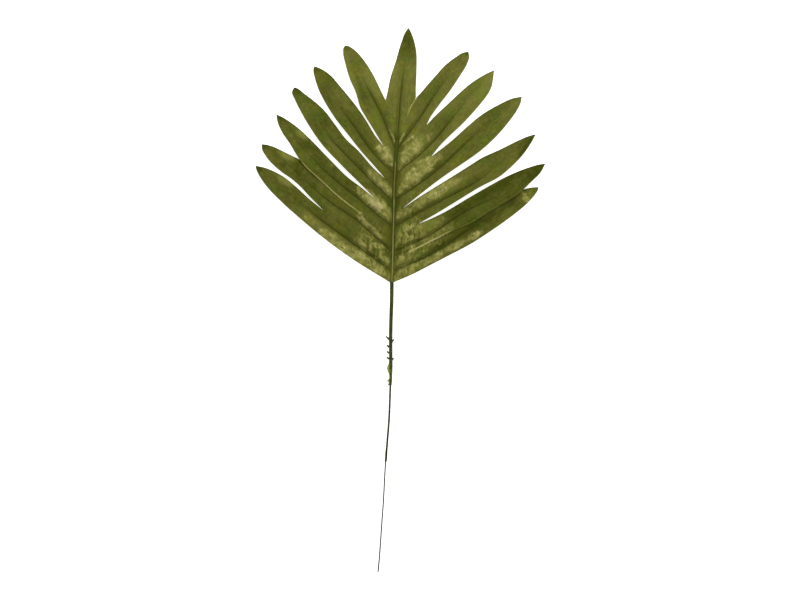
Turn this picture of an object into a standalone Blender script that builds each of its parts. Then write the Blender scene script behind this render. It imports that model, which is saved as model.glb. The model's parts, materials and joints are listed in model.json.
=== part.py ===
"""Artificial fan palm leaf on a wired plastic stem, lying face up.

A die-cut fabric blade with 13 lobes sits on a moulded stem, whose rib and side ribs run up behind it.
A coated steel wire leaves the stem's lower end. Named lengths are millimetres in the leaf's own frame:
X to the right, Y towards the leaf's tip, Z up. The origin is the middle of the leaf's outline, on the
surface that it lies on.
"""
import math
from collections import namedtuple

import bmesh
import bpy
import numpy as np

MM = 0.001

# Blade, seen from its front
BLADE_THICKNESS = 0.6
RIB_LINE = [(-3.2, 158.8), (-5.1, 138.8), (-5.4, 126.8), (-6.4, 112.8), (-6.4, 100.8), (-6.7, 77.3),
            (-7.4, 61.8), (-7.5, 46.8), (-7.8, 34.8), (-8.6, 17.8)]
BAND_HALF_WIDTH = 2.5
VEIN_ROOTS = [152.8, 126.8, 99.8, 73.8, 48.8, 29.8]
SEAM_ROOTS = [158.8, 139.8, 113.3, 86.8, 61.3, 39.3, 17.8]
LOBE_ROWS = 16
HALF_COLUMNS = 3
TIP_CROWDING = 1.5

# Heights of the blade's face
FOOT_HEIGHT = 3.72
CREST_HEIGHT = 9.5
CREST_Y = 130.0
SIDE_FALL = 8.9
HALF_SPAN = 137.0
FALL_POWER = 1.8
PLEAT_DEPTH = 1.4
PLEAT_START = 0.12
RIDGE_PROFILE = [(0.0, 0.8), (0.83, 0.3), (1.67, -0.5), (2.5, 0.0)]
RIDGE_RUN_OUT = 0.1

# Stem moulding: centre line, radii, and what stands on it
STEM_LINE = [(-8.6, 10.0), (-8.7, -0.2), (-9.4, -20.2), (-9.7, -37.2), (-9.6, -58.2), (-9.5, -68.2)]
STEM_END_LINE = [(-9.6, -74.0), (-9.7, -80.2), (-10.0, -85.2)]
STEM_TOP_RADIUS = 1.65
STEM_LOW_RADIUS = 1.45
STEM_END_RADII = [1.35, 1.25, 1.2]
STEM_END_AXIS_HEIGHT = 1.38
STEM_SIDES = 12
RIB_TOP_RADIUS = 0.9
RIB_BELOW_FACE = 2.1
RIB_END_Y = 156.5
SIDE_RIB_ROOT_RADIUS = 0.8
SIDE_RIB_END_RADIUS = 0.4
SIDE_RIB_SIDES = 6
SIDE_RIB_SHARE = 0.62
SIDE_RIB_GAP = 0.35
SIDE_RIB_START_IN = 2.0
TOP_RIB_START_IN = 4.0
SPUR_ROOT_RADIUS = 0.55
SPUR_TIP_RADIUS = 0.15
SPUR_SIDES = 6
FLASH_THICKNESS = 0.4

# Wire and its coat
BORE_TOP_Y = -58.2
BORE_RADIUS = 1.02
COAT_LINE = [(-9.55, -61.0), (-9.5, -68.2), (-9.6, -74.0), (-9.7, -80.2), (-10.0, -85.2), (-10.5, -100.2),
             (-11.4, -120.2), (-13.0, -140.2), (-13.7, -149.0), (-14.0, -152.0), (-14.3, -157.5),
             (-14.7, -161.7)]
COAT_RADIUS = 0.9
BEAD_RADIUS = 1.1
BEAD_RINGS = 3
COAT_BORE_RADIUS = 0.68
COAT_SIDES = 12
WIRE_LINE = [(-15.7, -180.2), (-16.7, -200.2), (-18.1, -220.2), (-19.4, -240.2), (-20.8, -260.2),
             (-22.1, -272.2)]
WIRE_RADIUS = 0.6
WIRE_SIDES = 12
WIRE_INSET = 1.5
COAT_END_AXIS_HEIGHT = 1.15

Lobe = namedtuple("Lobe", "name side tip tip_height vein left right")

# Lobes clockwise from the foot's left. Each edge runs from the cut's inner end to the tip, and left and
# right are as seen from the root. side is -1 left of the rib, 0 at its top and +1 right of it.
LOBES = [
    Lobe("left_6", -1, (-145.0, 134.2), 0.6,
         vein=[(-34.9, 47.4), (-63.4, 67.8), (-95.4, 91.8)],
         left=[(-20.7, 23.7), (-40.6, 35.9), (-70.4, 56.8), (-100.4, 81.3), (-120.4, 99.3),
               (-132.2, 111.5), (-140.6, 123.1), (-143.6, 128.8)],
         right=[(-90.2, 100.1), (-105.3, 113.8), (-115.3, 122.0), (-125.2, 127.8), (-135.2, 132.0)]),
    Lobe("left_5", -1, (-138.8, 155.6), 1.6,
         vein=[(-42.0, 78.0), (-71.6, 98.4), (-105.0, 127.0)],
         left=[(-90.2, 102.5), (-100.4, 113.5), (-107.6, 119.8), (-120.6, 129.1), (-128.9, 136.6),
               (-134.6, 143.6), (-138.4, 150.8)],
         right=[(-60.6, 101.9), (-80.6, 120.0), (-91.0, 130.6), (-100.7, 140.1), (-108.4, 144.0),
                (-118.4, 149.0), (-128.4, 153.6), (-134.0, 155.1)]),
    Lobe("left_4", -1, (-123.8, 185.3), 5.6,
         vein=[(-40.0, 99.4), (-63.4, 117.8), (-95.0, 148.5)],
         left=[(-60.4, 102.2), (-80.4, 120.3), (-94.4, 132.8), (-100.7, 140.1), (-110.6, 156.1),
               (-118.6, 168.1), (-123.0, 178.6)],
         right=[(-40.6, 113.4), (-50.5, 120.6), (-70.3, 139.9), (-90.2, 160.5), (-100.2, 170.0),
                (-110.4, 177.8), (-117.5, 182.3)]),
    Lobe("left_3", -1, (-106.1, 212.5), 3.6,
         vein=[(-33.9, 123.8), (-48.4, 138.2), (-70.4, 161.8)],
         left=[(-40.8, 116.4), (-60.9, 136.4), (-78.7, 155.6), (-90.0, 171.8), (-100.2, 189.3),
               (-105.4, 199.8), (-108.4, 208.0)],
         right=[(-26.1, 130.8), (-42.6, 149.4), (-54.0, 160.1), (-65.0, 174.6), (-76.4, 189.5),
                (-88.2, 200.1), (-97.2, 206.9), (-102.2, 211.0)]),
    Lobe("left_2", -1, (-85.9, 233.5), 4.4,
         vein=[(-28.8, 148.4), (-46.1, 172.7), (-60.4, 191.8)],
         left=[(-24.9, 132.0), (-40.3, 149.5), (-50.8, 162.9), (-65.2, 181.3), (-76.7, 199.8),
               (-81.9, 210.5), (-85.3, 221.0), (-86.9, 230.5)],
         right=[(-25.2, 164.0), (-34.9, 180.1), (-45.0, 194.5), (-60.3, 213.3), (-70.4, 224.8),
                (-80.4, 231.3)]),
    Lobe("left_1", -1, (-55.1, 254.3), 3.0,
         vein=[(-20.6, 188.0), (-32.8, 211.4)],
         left=[(-25.2, 167.0), (-35.2, 183.3), (-39.1, 189.8), (-44.9, 207.8), (-50.5, 220.5),
               (-54.8, 234.8), (-57.3, 248.0), (-57.0, 251.8)],
         right=[(-19.6, 209.2), (-29.5, 228.8), (-39.3, 243.0), (-47.1, 250.8), (-51.4, 253.4)]),
    Lobe("top", 0, (8.2, 272.2), 0.6,
         vein=[(-1.5, 177.2), (-0.4, 194.8), (1.6, 214.8)],
         left=[(-13.2, 205.8), (-9.9, 221.9), (-5.0, 237.2), (1.4, 258.8), (4.5, 266.9)],
         right=[(10.7, 194.4), (14.7, 201.1), (15.4, 209.8), (16.2, 230.0), (15.8, 249.5),
                (13.2, 260.8), (10.6, 267.6)]),
    Lobe("right_1", 1, (68.1, 247.8), 4.6,
         vein=[(22.1, 185.5), (38.4, 210.4)],
         left=[(11.0, 194.2), (15.2, 200.8), (20.0, 206.3), (35.1, 223.7), (45.1, 234.6), (54.9, 242.2),
               (62.6, 246.9)],
         right=[(29.4, 181.1), (39.4, 195.5), (49.6, 208.7), (59.8, 224.1), (66.5, 235.2), (68.8, 242.8)]),
    Lobe("right_2", 1, (93.9, 229.5), 3.2,
         vein=[(31.9, 156.8), (54.6, 184.8), (69.6, 202.8)],
         left=[(33.5, 182.3), (49.6, 197.6), (59.6, 207.1), (69.7, 215.7), (79.7, 222.4), (89.6, 227.8)],
         right=[(40.0, 154.4), (50.0, 164.4), (59.9, 173.7), (79.6, 195.3), (87.5, 205.6), (91.2, 213.0),
                (92.8, 221.8)]),
    Lobe("right_3", 1, (121.4, 203.1), 4.2,
         vein=[(38.4, 130.8), (69.6, 159.8)],
         left=[(39.6, 149.6), (49.7, 157.6), (69.8, 175.5), (79.6, 183.6), (99.6, 195.6), (112.0, 201.2)],
         right=[(10.1, 97.5), (20.1, 105.5), (40.0, 120.8), (59.8, 134.4), (80.1, 148.8), (100.1, 167.8),
                (110.0, 180.0), (116.4, 189.1), (120.4, 197.5)]),
    Lobe("right_4", 1, (135.6, 165.6), 3.4,
         vein=[(41.6, 99.3), (74.6, 116.8), (105.0, 140.0)],
         left=[(19.7, 103.1), (39.4, 115.3), (69.2, 134.0), (79.3, 140.5), (99.5, 150.1), (119.4, 159.9),
               (127.8, 163.5)],
         right=[(39.4, 88.1), (59.6, 100.5), (79.7, 112.7), (99.8, 123.5), (107.3, 129.7), (123.8, 146.7),
                (129.7, 155.2)]),
    Lobe("right_5", 1, (145.0, 136.0), 5.0,
         vein=[(27.6, 63.6), (64.6, 87.8), (99.6, 104.8)],
         left=[(29.7, 80.7), (39.8, 85.4), (69.6, 102.7), (89.5, 114.1), (109.5, 124.7), (129.6, 132.6),
               (139.0, 135.3)],
         right=[(19.6, 53.3), (39.6, 63.3), (50.6, 68.3), (69.6, 76.3), (89.6, 88.8), (109.6, 100.8),
                (122.0, 109.3), (130.5, 117.5), (140.3, 127.5)]),
    Lobe("right_6", 1, (138.1, 112.8), 0.6,
         vein=[(35.1, 47.3), (65.5, 67.9), (99.6, 87.8)],
         left=[(19.8, 53.0), (39.8, 62.9), (50.6, 68.5), (69.6, 78.6), (89.6, 91.0), (109.6, 103.0),
               (124.4, 110.7), (131.0, 112.2)],
         right=[(9.9, 24.5), (29.8, 34.6), (49.6, 44.9), (69.8, 55.5), (89.8, 68.3), (109.5, 82.2),
                (129.2, 98.8), (134.7, 105.2), (137.6, 110.0)]),
]

TOP_LOBE = 6

# Inner ends of the cuts between one lobe and the next, in the same order
CUT_ENDS = [(-77.4, 89.8), (-42.4, 88.2), (-25.7, 101.3), (-16.0, 121.7), (-17.0, 153.5), (-14.8, 199.2),
            (7.6, 187.8), (26.4, 174.7), (30.7, 142.7), (2.2, 91.3), (18.4, 75.9), (1.6, 43.8)]

# Spurs: root on the stem's centre line, then tip
SPURS = [((-10.6, -40.2), (-14.3, -36.7)), ((-9.4, -42.6), (-6.6, -39.8)), ((-10.6, -47.8), (-13.3, -45.5)),
         ((-10.6, -53.9), (-13.3, -51.8)), ((-10.6, -59.7), (-13.3, -57.6)), ((-9.4, -60.9), (-6.8, -58.5)),
         ((-10.2, -84.4), (-12.2, -84.4))]

# Mould flash: outlines of the two thin scraps on the stem's left side
FLASH_SCRAPS = [
    [(-10.0, -60.5), (-12.0, -63.9), (-13.3, -67.0), (-13.5, -68.9), (-12.4, -72.3), (-10.3, -76.3)],
    [(-10.2, -78.0), (-11.6, -78.9), (-13.3, -81.5), (-11.2, -82.9), (-10.2, -83.4)],
]

MATERIALS = {
    "leaf_blade": ((0.095, 0.125, 0.022), 0.5, 0.0),
    "moulded_stem": ((0.035, 0.05, 0.014), 0.4, 0.0),
    "wire_coat": ((0.065, 0.07, 0.035), 0.5, 0.0),
    "wire": ((0.42, 0.37, 0.3), 0.4, 0.9),
}


def smooth_path(points, steps=16):
    """Dense polyline of the smooth curve through the points."""
    points = np.array(points, float)
    knots = np.concatenate([[0.0], np.cumsum(np.linalg.norm(np.diff(points, axis=0), axis=1))])
    slopes = np.gradient(points, knots, axis=0)
    stretches = [np.linspace(a, b, steps, endpoint=False) for a, b in zip(knots, knots[1:])]
    t = np.concatenate(stretches + [knots[-1:]])
    i = np.clip(np.searchsorted(knots, t, side="right") - 1, 0, len(points) - 2)
    gap = (knots[i + 1] - knots[i])[:, None]
    x = (t - knots[i])[:, None] / gap
    start = (1 + 2 * x) * (1 - x) ** 2 * points[i] + x * (1 - x) ** 2 * gap * slopes[i]
    end = x ** 2 * (3 - 2 * x) * points[i + 1] + x ** 2 * (x - 1) * gap * slopes[i + 1]
    return start + end


def length_along(path):
    """Distance along a polyline of each of its points."""
    return np.concatenate([[0.0], np.cumsum(np.linalg.norm(np.diff(path, axis=0), axis=1))])


def at_fractions(path, fractions):
    """Points of a polyline at these fractions of its length."""
    length = length_along(path)
    wanted = np.asarray(fractions) * length[-1]
    return np.column_stack([np.interp(wanted, length, axis) for axis in path.T])


def ease(t):
    """Smooth step from 0 to 1."""
    t = np.clip(t, 0.0, 1.0)
    return t * t * (3 - 2 * t)


def rib_x(y):
    """X of the rib's middle at a height on the leaf."""
    x_values, y_values = np.array(RIB_LINE[::-1]).T
    return np.interp(y, y_values, x_values)


def rib_height(y):
    """Height of the blade's face along its middle."""
    foot_y = SEAM_ROOTS[-1]
    rise = (CREST_HEIGHT - FOOT_HEIGHT) * ease((y - foot_y) / (CREST_Y - foot_y))
    top_lobe = LOBES[TOP_LOBE]
    past_crest = np.clip((y - CREST_Y) / (top_lobe.tip[1] - CREST_Y), 0, None)
    return FOOT_HEIGHT + rise - (CREST_HEIGHT - top_lobe.tip_height) * past_crest ** 2


def face_height(x, y):
    """Height of the blade's face before its pleats and the lift of its lobes."""
    return rib_height(y) - SIDE_FALL * (np.abs(x - rib_x(y)) / HALF_SPAN) ** FALL_POWER


def ridge_height(offset):
    """Height of the pressed ridge over the rib, with the groove on each side of it."""
    offsets, heights = np.array(RIDGE_PROFILE).T
    return np.interp(np.abs(offset), offsets, heights)


def band_point(side, y):
    """Point on the left or right border of the band over the rib, or on its middle."""
    return (float(rib_x(y)) + side * BAND_HALF_WIDTH, y)


def lobe_roots(index):
    """Points on the band where a lobe's left side, vein and right side start."""
    side = LOBES[index].side
    if side == 0:
        return [band_point(s, SEAM_ROOTS[0]) for s in (-1, 0, 1)]
    rank = abs(index - TOP_LOBE)
    heights = [SEAM_ROOTS[rank], VEIN_ROOTS[rank - 1], SEAM_ROOTS[rank - 1]]
    return [band_point(side, y) for y in (heights if side < 0 else heights[::-1])]


def lobe_border(root, cut_end, edge, tip):
    """Seam from the band to the cut's end, then the free edge to the tip, and the cut's place on it."""
    seam = np.array([root, cut_end]) if cut_end else np.array([root])
    free = smooth_path([tuple(seam[-1])] + edge + [tip])
    border_length = length_along(seam)[-1] + length_along(free)[-1]
    return seam, free, length_along(seam)[-1] / border_length


def border_points(seam, free, cut_share, seam_rows):
    """A lobe border's points, one a row, and their places along it from 0 to 1."""
    free_steps = np.linspace(0, 1, LOBE_ROWS - seam_rows + 1)
    free_shares = 1 - (1 - free_steps) ** TIP_CROWDING
    free_points = at_fractions(free, free_shares)
    places = cut_share + (1 - cut_share) * free_shares
    if seam_rows == 0:
        return free_points, places
    seam_steps = np.linspace(0, 1, seam_rows, endpoint=False)
    points = np.vstack([at_fractions(seam, seam_steps), free_points])
    return points, np.concatenate([cut_share * seam_steps, places])


def lobe_grid(index, seam_rows, borders):
    """Points of a lobe's face: rows from root to tip, columns from its left edge to its right."""
    lobe = LOBES[index]
    root = lobe_roots(index)
    sides = [border_points(*borders[index][k], seam_rows[index + k]) for k in (0, 1)]
    vein_places = (sides[0][1] + sides[1][1]) / 2
    vein = at_fractions(smooth_path([root[1]] + lobe.vein + [lobe.tip]), vein_places)
    columns = np.linspace(-1, 1, 2 * HALF_COLUMNS + 1)
    cut_places = [borders[index][k][2] for k in (0, 1)]
    lift = lobe.tip_height - face_height(*lobe.tip)
    grid = np.zeros((LOBE_ROWS + 1, len(columns), 3))
    for column, u in enumerate(columns):
        side_points, side_places = sides[0] if u < 0 else sides[1]
        cut_place = cut_places[0] if u < 0 else cut_places[1]
        reach = abs(u)
        flat = vein + (side_points - vein) * reach
        place = vein_places + (side_places - vein_places) * reach
        cut = sum(cut_places) / 2 * (1 - reach) + cut_place * reach
        height = face_height(flat[:, 0], flat[:, 1])
        pleat = PLEAT_DEPTH * (1 - math.sin(math.pi / 2 * reach))
        height -= pleat * ease(place / PLEAT_START) * (1 - place ** 2)
        height += lift * ease((place - cut) / (1 - cut))
        if lobe.side == 0:
            height += ridge_height(reach * BAND_HALF_WIDTH) * (1 - ease(place / RIDGE_RUN_OUT))
        grid[:, column, :2] = flat
        grid[:, column, 2] = np.maximum(height, BLADE_THICKNESS)
    return grid


def band_grid(grids):
    """Points of the band over the rib, between the roots of the left and the right lobes."""
    last = len(grids) - 1
    left = np.vstack([grids[i][0][(1 if i else 0):] for i in range(TOP_LOBE)])
    right = np.vstack([grids[i][0][::-1][(0 if i == last else 1):] for i in range(last, TOP_LOBE, -1)])
    spread = np.linspace(0, 1, 2 * HALF_COLUMNS + 1)
    grid = left[:, None, :] * (1 - spread)[None, :, None] + right[:, None, :] * spread[None, :, None]
    grid[:, :, 2] += ridge_height((2 * spread - 1) * BAND_HALF_WIDTH)
    grid[-1] = grids[TOP_LOBE][0]
    return grid


def blade_grids():
    """Grids of all the lobes, clockwise from the foot's left, and of the band between them."""
    cuts = [None] + CUT_ENDS + [None]
    borders = []
    for index, lobe in enumerate(LOBES):
        left_root, _, right_root = lobe_roots(index)
        borders.append([lobe_border(left_root, cuts[index], lobe.left, lobe.tip),
                        lobe_border(right_root, cuts[index + 1], lobe.right, lobe.tip)])
    seam_rows = [0]
    for index in range(len(CUT_ENDS)):
        share = (borders[index][1][2] + borders[index + 1][0][2]) / 2
        seam_rows.append(max(1, round(share * LOBE_ROWS)))
    seam_rows.append(0)
    lobes = [lobe_grid(index, seam_rows, borders) for index in range(len(LOBES))]
    return lobes, band_grid(lobes)


def sheet_triangles(grids):
    """One welded sheet of triangles from several grids that share border points."""
    found = {}
    triangles = []
    for grid in grids:
        ids = [[found.setdefault(tuple(np.round(p, 4)), len(found)) for p in row] for row in grid]
        for low, high in zip(ids, ids[1:]):
            for a, b, c, d in zip(low, low[1:], high[1:], high):
                triangles += [t for t in ((a, b, c), (a, c, d)) if len(set(t)) == 3]
    return np.array(list(found)), triangles


def sheet_solid(points, triangles, thickness):
    """Closed solid under a sheet: the sheet, its copy a thickness lower, and walls round the borders."""
    count = len(points)
    borders = set()
    for a, b, c in triangles:
        for edge in ((a, b), (b, c), (c, a)):
            if edge[::-1] in borders:
                borders.remove(edge[::-1])
            else:
                borders.add(edge)
    faces = list(triangles) + [(c + count, b + count, a + count) for a, b, c in triangles]
    for a, b in sorted(borders):
        faces += [(b, a, a + count), (b, a + count, b + count)]
    return np.vstack([points, points - [0, 0, thickness]]), faces


def sweep(path, stations, sides, closed=False):
    """Rings of a many-sided tube round the path. A station is a path point's number and a radius."""
    path = np.array(path, float)
    tangents = np.gradient(path, axis=0)
    tangents /= np.linalg.norm(tangents, axis=1)[:, None]
    across = np.cross(tangents, [0, 0, 1])
    across /= np.linalg.norm(across, axis=1)[:, None]
    up = np.cross(across, tangents)
    angles = (np.arange(sides) + 0.5) * 2 * math.pi / sides
    rings = [path[i] + radius * (np.cos(angles)[:, None] * across[i] + np.sin(angles)[:, None] * up[i])
             for i, radius in stations]
    faces = []
    for k in range(len(rings) if closed else len(rings) - 1):
        first, second = k * sides, (k + 1) % len(rings) * sides
        for s in range(sides):
            n = (s + 1) % sides
            faces.append((first + s, first + n, second + n, second + s))
    if not closed:
        faces.append(tuple(range(sides))[::-1])
        faces.append(tuple((len(rings) - 1) * sides + s for s in range(sides)))
    return np.vstack(rings), faces


def make_object(name, points, faces, collection=None):
    """Mesh object from points in millimetres, with its faces turned outwards."""
    mesh = bpy.data.meshes.new(name)
    mesh.from_pydata([tuple(p) for p in np.asarray(points) * MM], [], faces)
    work = bmesh.new()
    work.from_mesh(mesh)
    bmesh.ops.recalc_face_normals(work, faces=work.faces)
    work.to_mesh(mesh)
    work.free()
    obj = bpy.data.objects.new(name, mesh)
    (collection or bpy.context.scene.collection).objects.link(obj)
    return obj


def add_material(obj):
    """Give an object the material of its own name."""
    colour, roughness, metallic = MATERIALS[obj.name]
    material = bpy.data.materials.new(obj.name)
    material.use_nodes = True
    shader = material.node_tree.nodes["Principled BSDF"]
    shader.inputs["Base Color"].default_value = (*colour, 1.0)
    shader.inputs["Roughness"].default_value = roughness
    shader.inputs["Metallic"].default_value = metallic
    obj.data.materials.clear()
    obj.data.materials.append(material)


def stem_path():
    """Centre line of the stem from the rib's upper end down to the moulding's lower end, with radii."""
    flat_share = math.cos(math.pi / STEM_SIDES)
    path, radii = [], []
    rib_heights = [RIB_END_Y] + [y for y in sorted(VEIN_ROOTS + SEAM_ROOTS, reverse=True) if y < RIB_END_Y]
    for y in rib_heights:
        share = (y - SEAM_ROOTS[-1]) / (RIB_END_Y - SEAM_ROOTS[-1])
        radii.append(STEM_TOP_RADIUS + (RIB_TOP_RADIUS - STEM_TOP_RADIUS) * share)
        path.append((float(rib_x(y)), y, float(rib_height(y)) - RIB_BELOW_FACE))
    for k, (x, y) in enumerate(STEM_LINE):
        share = k / (len(STEM_LINE) - 1)
        radii.append(STEM_TOP_RADIUS + (STEM_LOW_RADIUS - STEM_TOP_RADIUS) * share)
        path.append((x, y, radii[-1] * flat_share))
    for (x, y), radius in zip(STEM_END_LINE, STEM_END_RADII):
        radii.append(radius)
        path.append((x, y, STEM_END_AXIS_HEIGHT))
    return path, radii


def side_rib(lobe, grid):
    """Path and radii of the thin rib under a lobe's crease, from inside the main rib outwards."""
    middle = grid[:, HALF_COLUMNS]
    length = length_along(middle)
    shares = length / length[-1]
    kept = shares <= SIDE_RIB_SHARE
    taper = SIDE_RIB_END_RADIUS - SIDE_RIB_ROOT_RADIUS
    radii = SIDE_RIB_ROOT_RADIUS + taper * shares[kept] / SIDE_RIB_SHARE
    path = middle[kept].copy()
    path[:, 2] -= BLADE_THICKNESS + SIDE_RIB_GAP + radii
    path[0, 2] = rib_height(path[0, 1]) - RIB_BELOW_FACE
    inner = path[0].copy()
    if lobe.side:
        inner[0] -= lobe.side * SIDE_RIB_START_IN
    else:
        path = path[1:]
        radii = radii[1:]
        inner[1] -= TOP_RIB_START_IN
    return np.vstack([inner, path]), [radii[0]] + list(radii)


def apply_boolean(obj, operation, collection):
    """Join a collection's objects to an object, or cut them from it, and remove them."""
    boolean = obj.modifiers.new(operation.lower(), "BOOLEAN")
    boolean.operation = operation
    boolean.operand_type = "COLLECTION"
    boolean.collection = collection
    boolean.solver = "EXACT"
    evaluated = obj.evaluated_get(bpy.context.evaluated_depsgraph_get())
    obj.data = bpy.data.meshes.new_from_object(evaluated)
    obj.modifiers.clear()
    for piece in list(collection.objects):
        bpy.data.objects.remove(piece)
    bpy.data.collections.remove(collection)


def new_collection(name):
    """Empty collection in the scene."""
    collection = bpy.data.collections.new(name)
    bpy.context.scene.collection.children.link(collection)
    return collection


def make_stem(lobe_grids):
    """The stem moulding, joined into one body with its side ribs, spurs and flash, and its bore."""
    details = new_collection("stem_details")
    path, radii = stem_path()
    stem = make_object("moulded_stem", *sweep(path, list(enumerate(radii)), STEM_SIDES))
    for lobe, grid in zip(LOBES, lobe_grids):
        rib_path, rib_radii = side_rib(lobe, grid)
        make_object("side_rib", *sweep(rib_path, list(enumerate(rib_radii)), SIDE_RIB_SIDES), details)
    axis_height = STEM_LOW_RADIUS
    for root, tip in SPURS:
        spur_path = [(*root, axis_height), (*tip, axis_height + SPUR_TIP_RADIUS)]
        spur_stations = [(0, SPUR_ROOT_RADIUS), (1, SPUR_TIP_RADIUS)]
        make_object("spur", *sweep(spur_path, spur_stations, SPUR_SIDES), details)
    for outline in FLASH_SCRAPS:
        top = np.array([(x, y, axis_height + FLASH_THICKNESS / 2) for x, y in outline])
        fan = [(0, k, k + 1) for k in range(1, len(outline) - 1)]
        make_object("flash", *sheet_solid(top, fan, FLASH_THICKNESS), details)
    apply_boolean(stem, "UNION", details)
    bore = new_collection("stem_bore")
    bore_path = [p for p in path if p[1] <= BORE_TOP_Y]
    direction = np.array(bore_path[-1]) - np.array(bore_path[-2])
    bore_path.append(tuple(np.array(bore_path[-1]) + direction))
    bore_stations = [(i, BORE_RADIUS) for i in range(len(bore_path))]
    make_object("bore", *sweep(bore_path, bore_stations, STEM_SIDES), bore)
    apply_boolean(stem, "DIFFERENCE", bore)
    return stem


def coat_path():
    """Centre line of the wire's coat, sloping gently down to its bead."""
    ys = np.array([y for _, y in COAT_LINE])
    heights = np.interp(-ys, [-STEM_END_LINE[-1][1], -ys[-1]], [STEM_END_AXIS_HEIGHT, COAT_END_AXIS_HEIGHT])
    return [(x, y, float(z)) for (x, y), z in zip(COAT_LINE, heights)]


def make_coat():
    """Plastic coat of the wire: a tube that swells into a bead at its lower end."""
    path = coat_path()
    last = len(path) - 1
    radii = [BEAD_RADIUS if i > last - BEAD_RINGS else COAT_RADIUS for i in range(len(path))]
    stations = list(enumerate(radii)) + [(i, COAT_BORE_RADIUS) for i in range(last, -1, -1)]
    return make_object("wire_coat", *sweep(path, stations, COAT_SIDES, closed=True))


def make_wire():
    """Steel wire from inside the coat's upper end to its cut lower end, which lies on the surface."""
    coat = coat_path()
    start = np.array(coat[0]) + np.array([0, -WIRE_INSET, 0])
    end_height = WIRE_RADIUS * math.cos(math.pi / WIRE_SIDES)
    ys = [y for _, y in WIRE_LINE]
    heights = np.interp([-y for y in ys], [-coat[-1][1], -ys[-1]], [COAT_END_AXIS_HEIGHT, end_height])
    bare = [(x, y, float(z)) for (x, y), z in zip(WIRE_LINE, heights)]
    path = [tuple(start)] + coat[1:] + bare
    stations = [(i, WIRE_RADIUS) for i in range(len(path))]
    return make_object("wire", *sweep(path, stations, WIRE_SIDES))


def main():
    for obj in list(bpy.data.objects):
        bpy.data.objects.remove(obj)
    lobes, band = blade_grids()
    sheet = sheet_triangles(lobes + [band])
    blade = make_object("leaf_blade", *sheet_solid(*sheet, BLADE_THICKNESS))
    for obj in (blade, make_stem(lobes), make_coat(), make_wire()):
        add_material(obj)


main()
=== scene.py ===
"""Looks of the artificial fan palm leaf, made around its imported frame.

Named lengths are millimetres in the leaf's own frame: X to the right, Y towards the leaf's tip, Z up. The
outlines follow the part's source, at a finer step and with a few points more, and the bare wire lies up to
0.4 mm further left.
"""
import json
import math
from collections import namedtuple

import bmesh
import bpy
import numpy as np
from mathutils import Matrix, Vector, noise

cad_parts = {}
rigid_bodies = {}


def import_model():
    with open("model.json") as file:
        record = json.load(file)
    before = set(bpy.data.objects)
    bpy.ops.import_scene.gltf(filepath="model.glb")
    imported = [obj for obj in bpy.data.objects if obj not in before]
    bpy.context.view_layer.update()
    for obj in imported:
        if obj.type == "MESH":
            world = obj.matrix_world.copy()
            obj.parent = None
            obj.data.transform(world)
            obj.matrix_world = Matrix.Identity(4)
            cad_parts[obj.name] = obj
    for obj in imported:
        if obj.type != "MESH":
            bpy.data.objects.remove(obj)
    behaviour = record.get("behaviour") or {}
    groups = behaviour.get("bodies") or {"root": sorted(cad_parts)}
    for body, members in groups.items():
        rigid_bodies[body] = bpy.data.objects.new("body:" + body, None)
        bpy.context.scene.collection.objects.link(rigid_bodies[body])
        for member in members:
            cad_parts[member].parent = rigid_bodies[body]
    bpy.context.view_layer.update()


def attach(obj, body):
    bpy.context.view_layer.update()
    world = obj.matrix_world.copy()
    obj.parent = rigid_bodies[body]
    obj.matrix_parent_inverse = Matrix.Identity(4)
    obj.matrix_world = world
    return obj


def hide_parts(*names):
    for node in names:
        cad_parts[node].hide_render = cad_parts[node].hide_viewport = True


MM = 0.001

# Blade, seen from its front
CAD_THICKNESS = 0.6
FABRIC_THICKNESS = 0.35
RIB_LINE = [(-3.2, 158.8), (-5.1, 138.8), (-5.4, 126.8), (-6.4, 112.8), (-6.4, 100.8), (-6.7, 77.3),
            (-7.4, 61.8), (-7.5, 46.8), (-7.8, 34.8), (-8.6, 17.8)]
BAND_HALF_WIDTH = 2.5
VEIN_ROOTS = [152.8, 126.8, 99.8, 73.8, 48.8, 29.8]
SEAM_ROOTS = [158.8, 139.8, 113.3, 86.8, 61.3, 39.3, 17.8]
LOBE_ROWS = 112
HALF_COLUMNS = [0.0, 0.03, 0.065, 0.105, 0.155, 0.22, 0.3, 0.4, 0.52, 0.65, 0.78, 0.9, 1.0]
TIP_CROWDING = 1.5

# Heights of the blade's face
FOOT_HEIGHT = 3.72
CREST_HEIGHT = 9.5
CREST_Y = 130.0
SIDE_FALL = 8.9
HALF_SPAN = 137.0
FALL_POWER = 1.8
PLEAT_DEPTH = 1.4
PLEAT_START = 0.12
RIDGE_PROFILE = [(0.0, 0.55), (0.25, 0.48), (0.5, 0.24), (0.8, 0.0), (1.2, -0.16), (1.6, -0.24), (2.0, -0.16),
                 (2.5, 0.0)]
RIDGE_RUN_OUT = 0.1

# Painted highlight on the ridge's crest and painted shade in the grooves beside it, by height on the leaf
RIDGE_LIGHT = [(20.0, 0.5), (32.0, 0.7), (50.0, 1.0), (70.0, 0.8), (90.0, 0.6), (97.0, 1.0), (104.0, 0.5),
               (120.0, 0.5), (135.0, 0.7), (142.0, 0.0)]
GROOVE_PAINTED_SHADE = [(20.0, 0.4), (60.0, 0.55), (90.0, 0.6), (135.0, 0.9), (158.0, 0.9)]
GROOVE_OFFSET = 1.3
GROOVE_WIDTH = 0.85
RIDGE_TOP_DARK = 0.4
RIDGE_TOP_RISE = (135.0, 143.0)
RIDGE_TOP_WIDTH = 0.9
RIDGE_LIGHT_WIDTH = 0.42
BESIDE_RIDGE = (1.6, 2.5)

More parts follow.
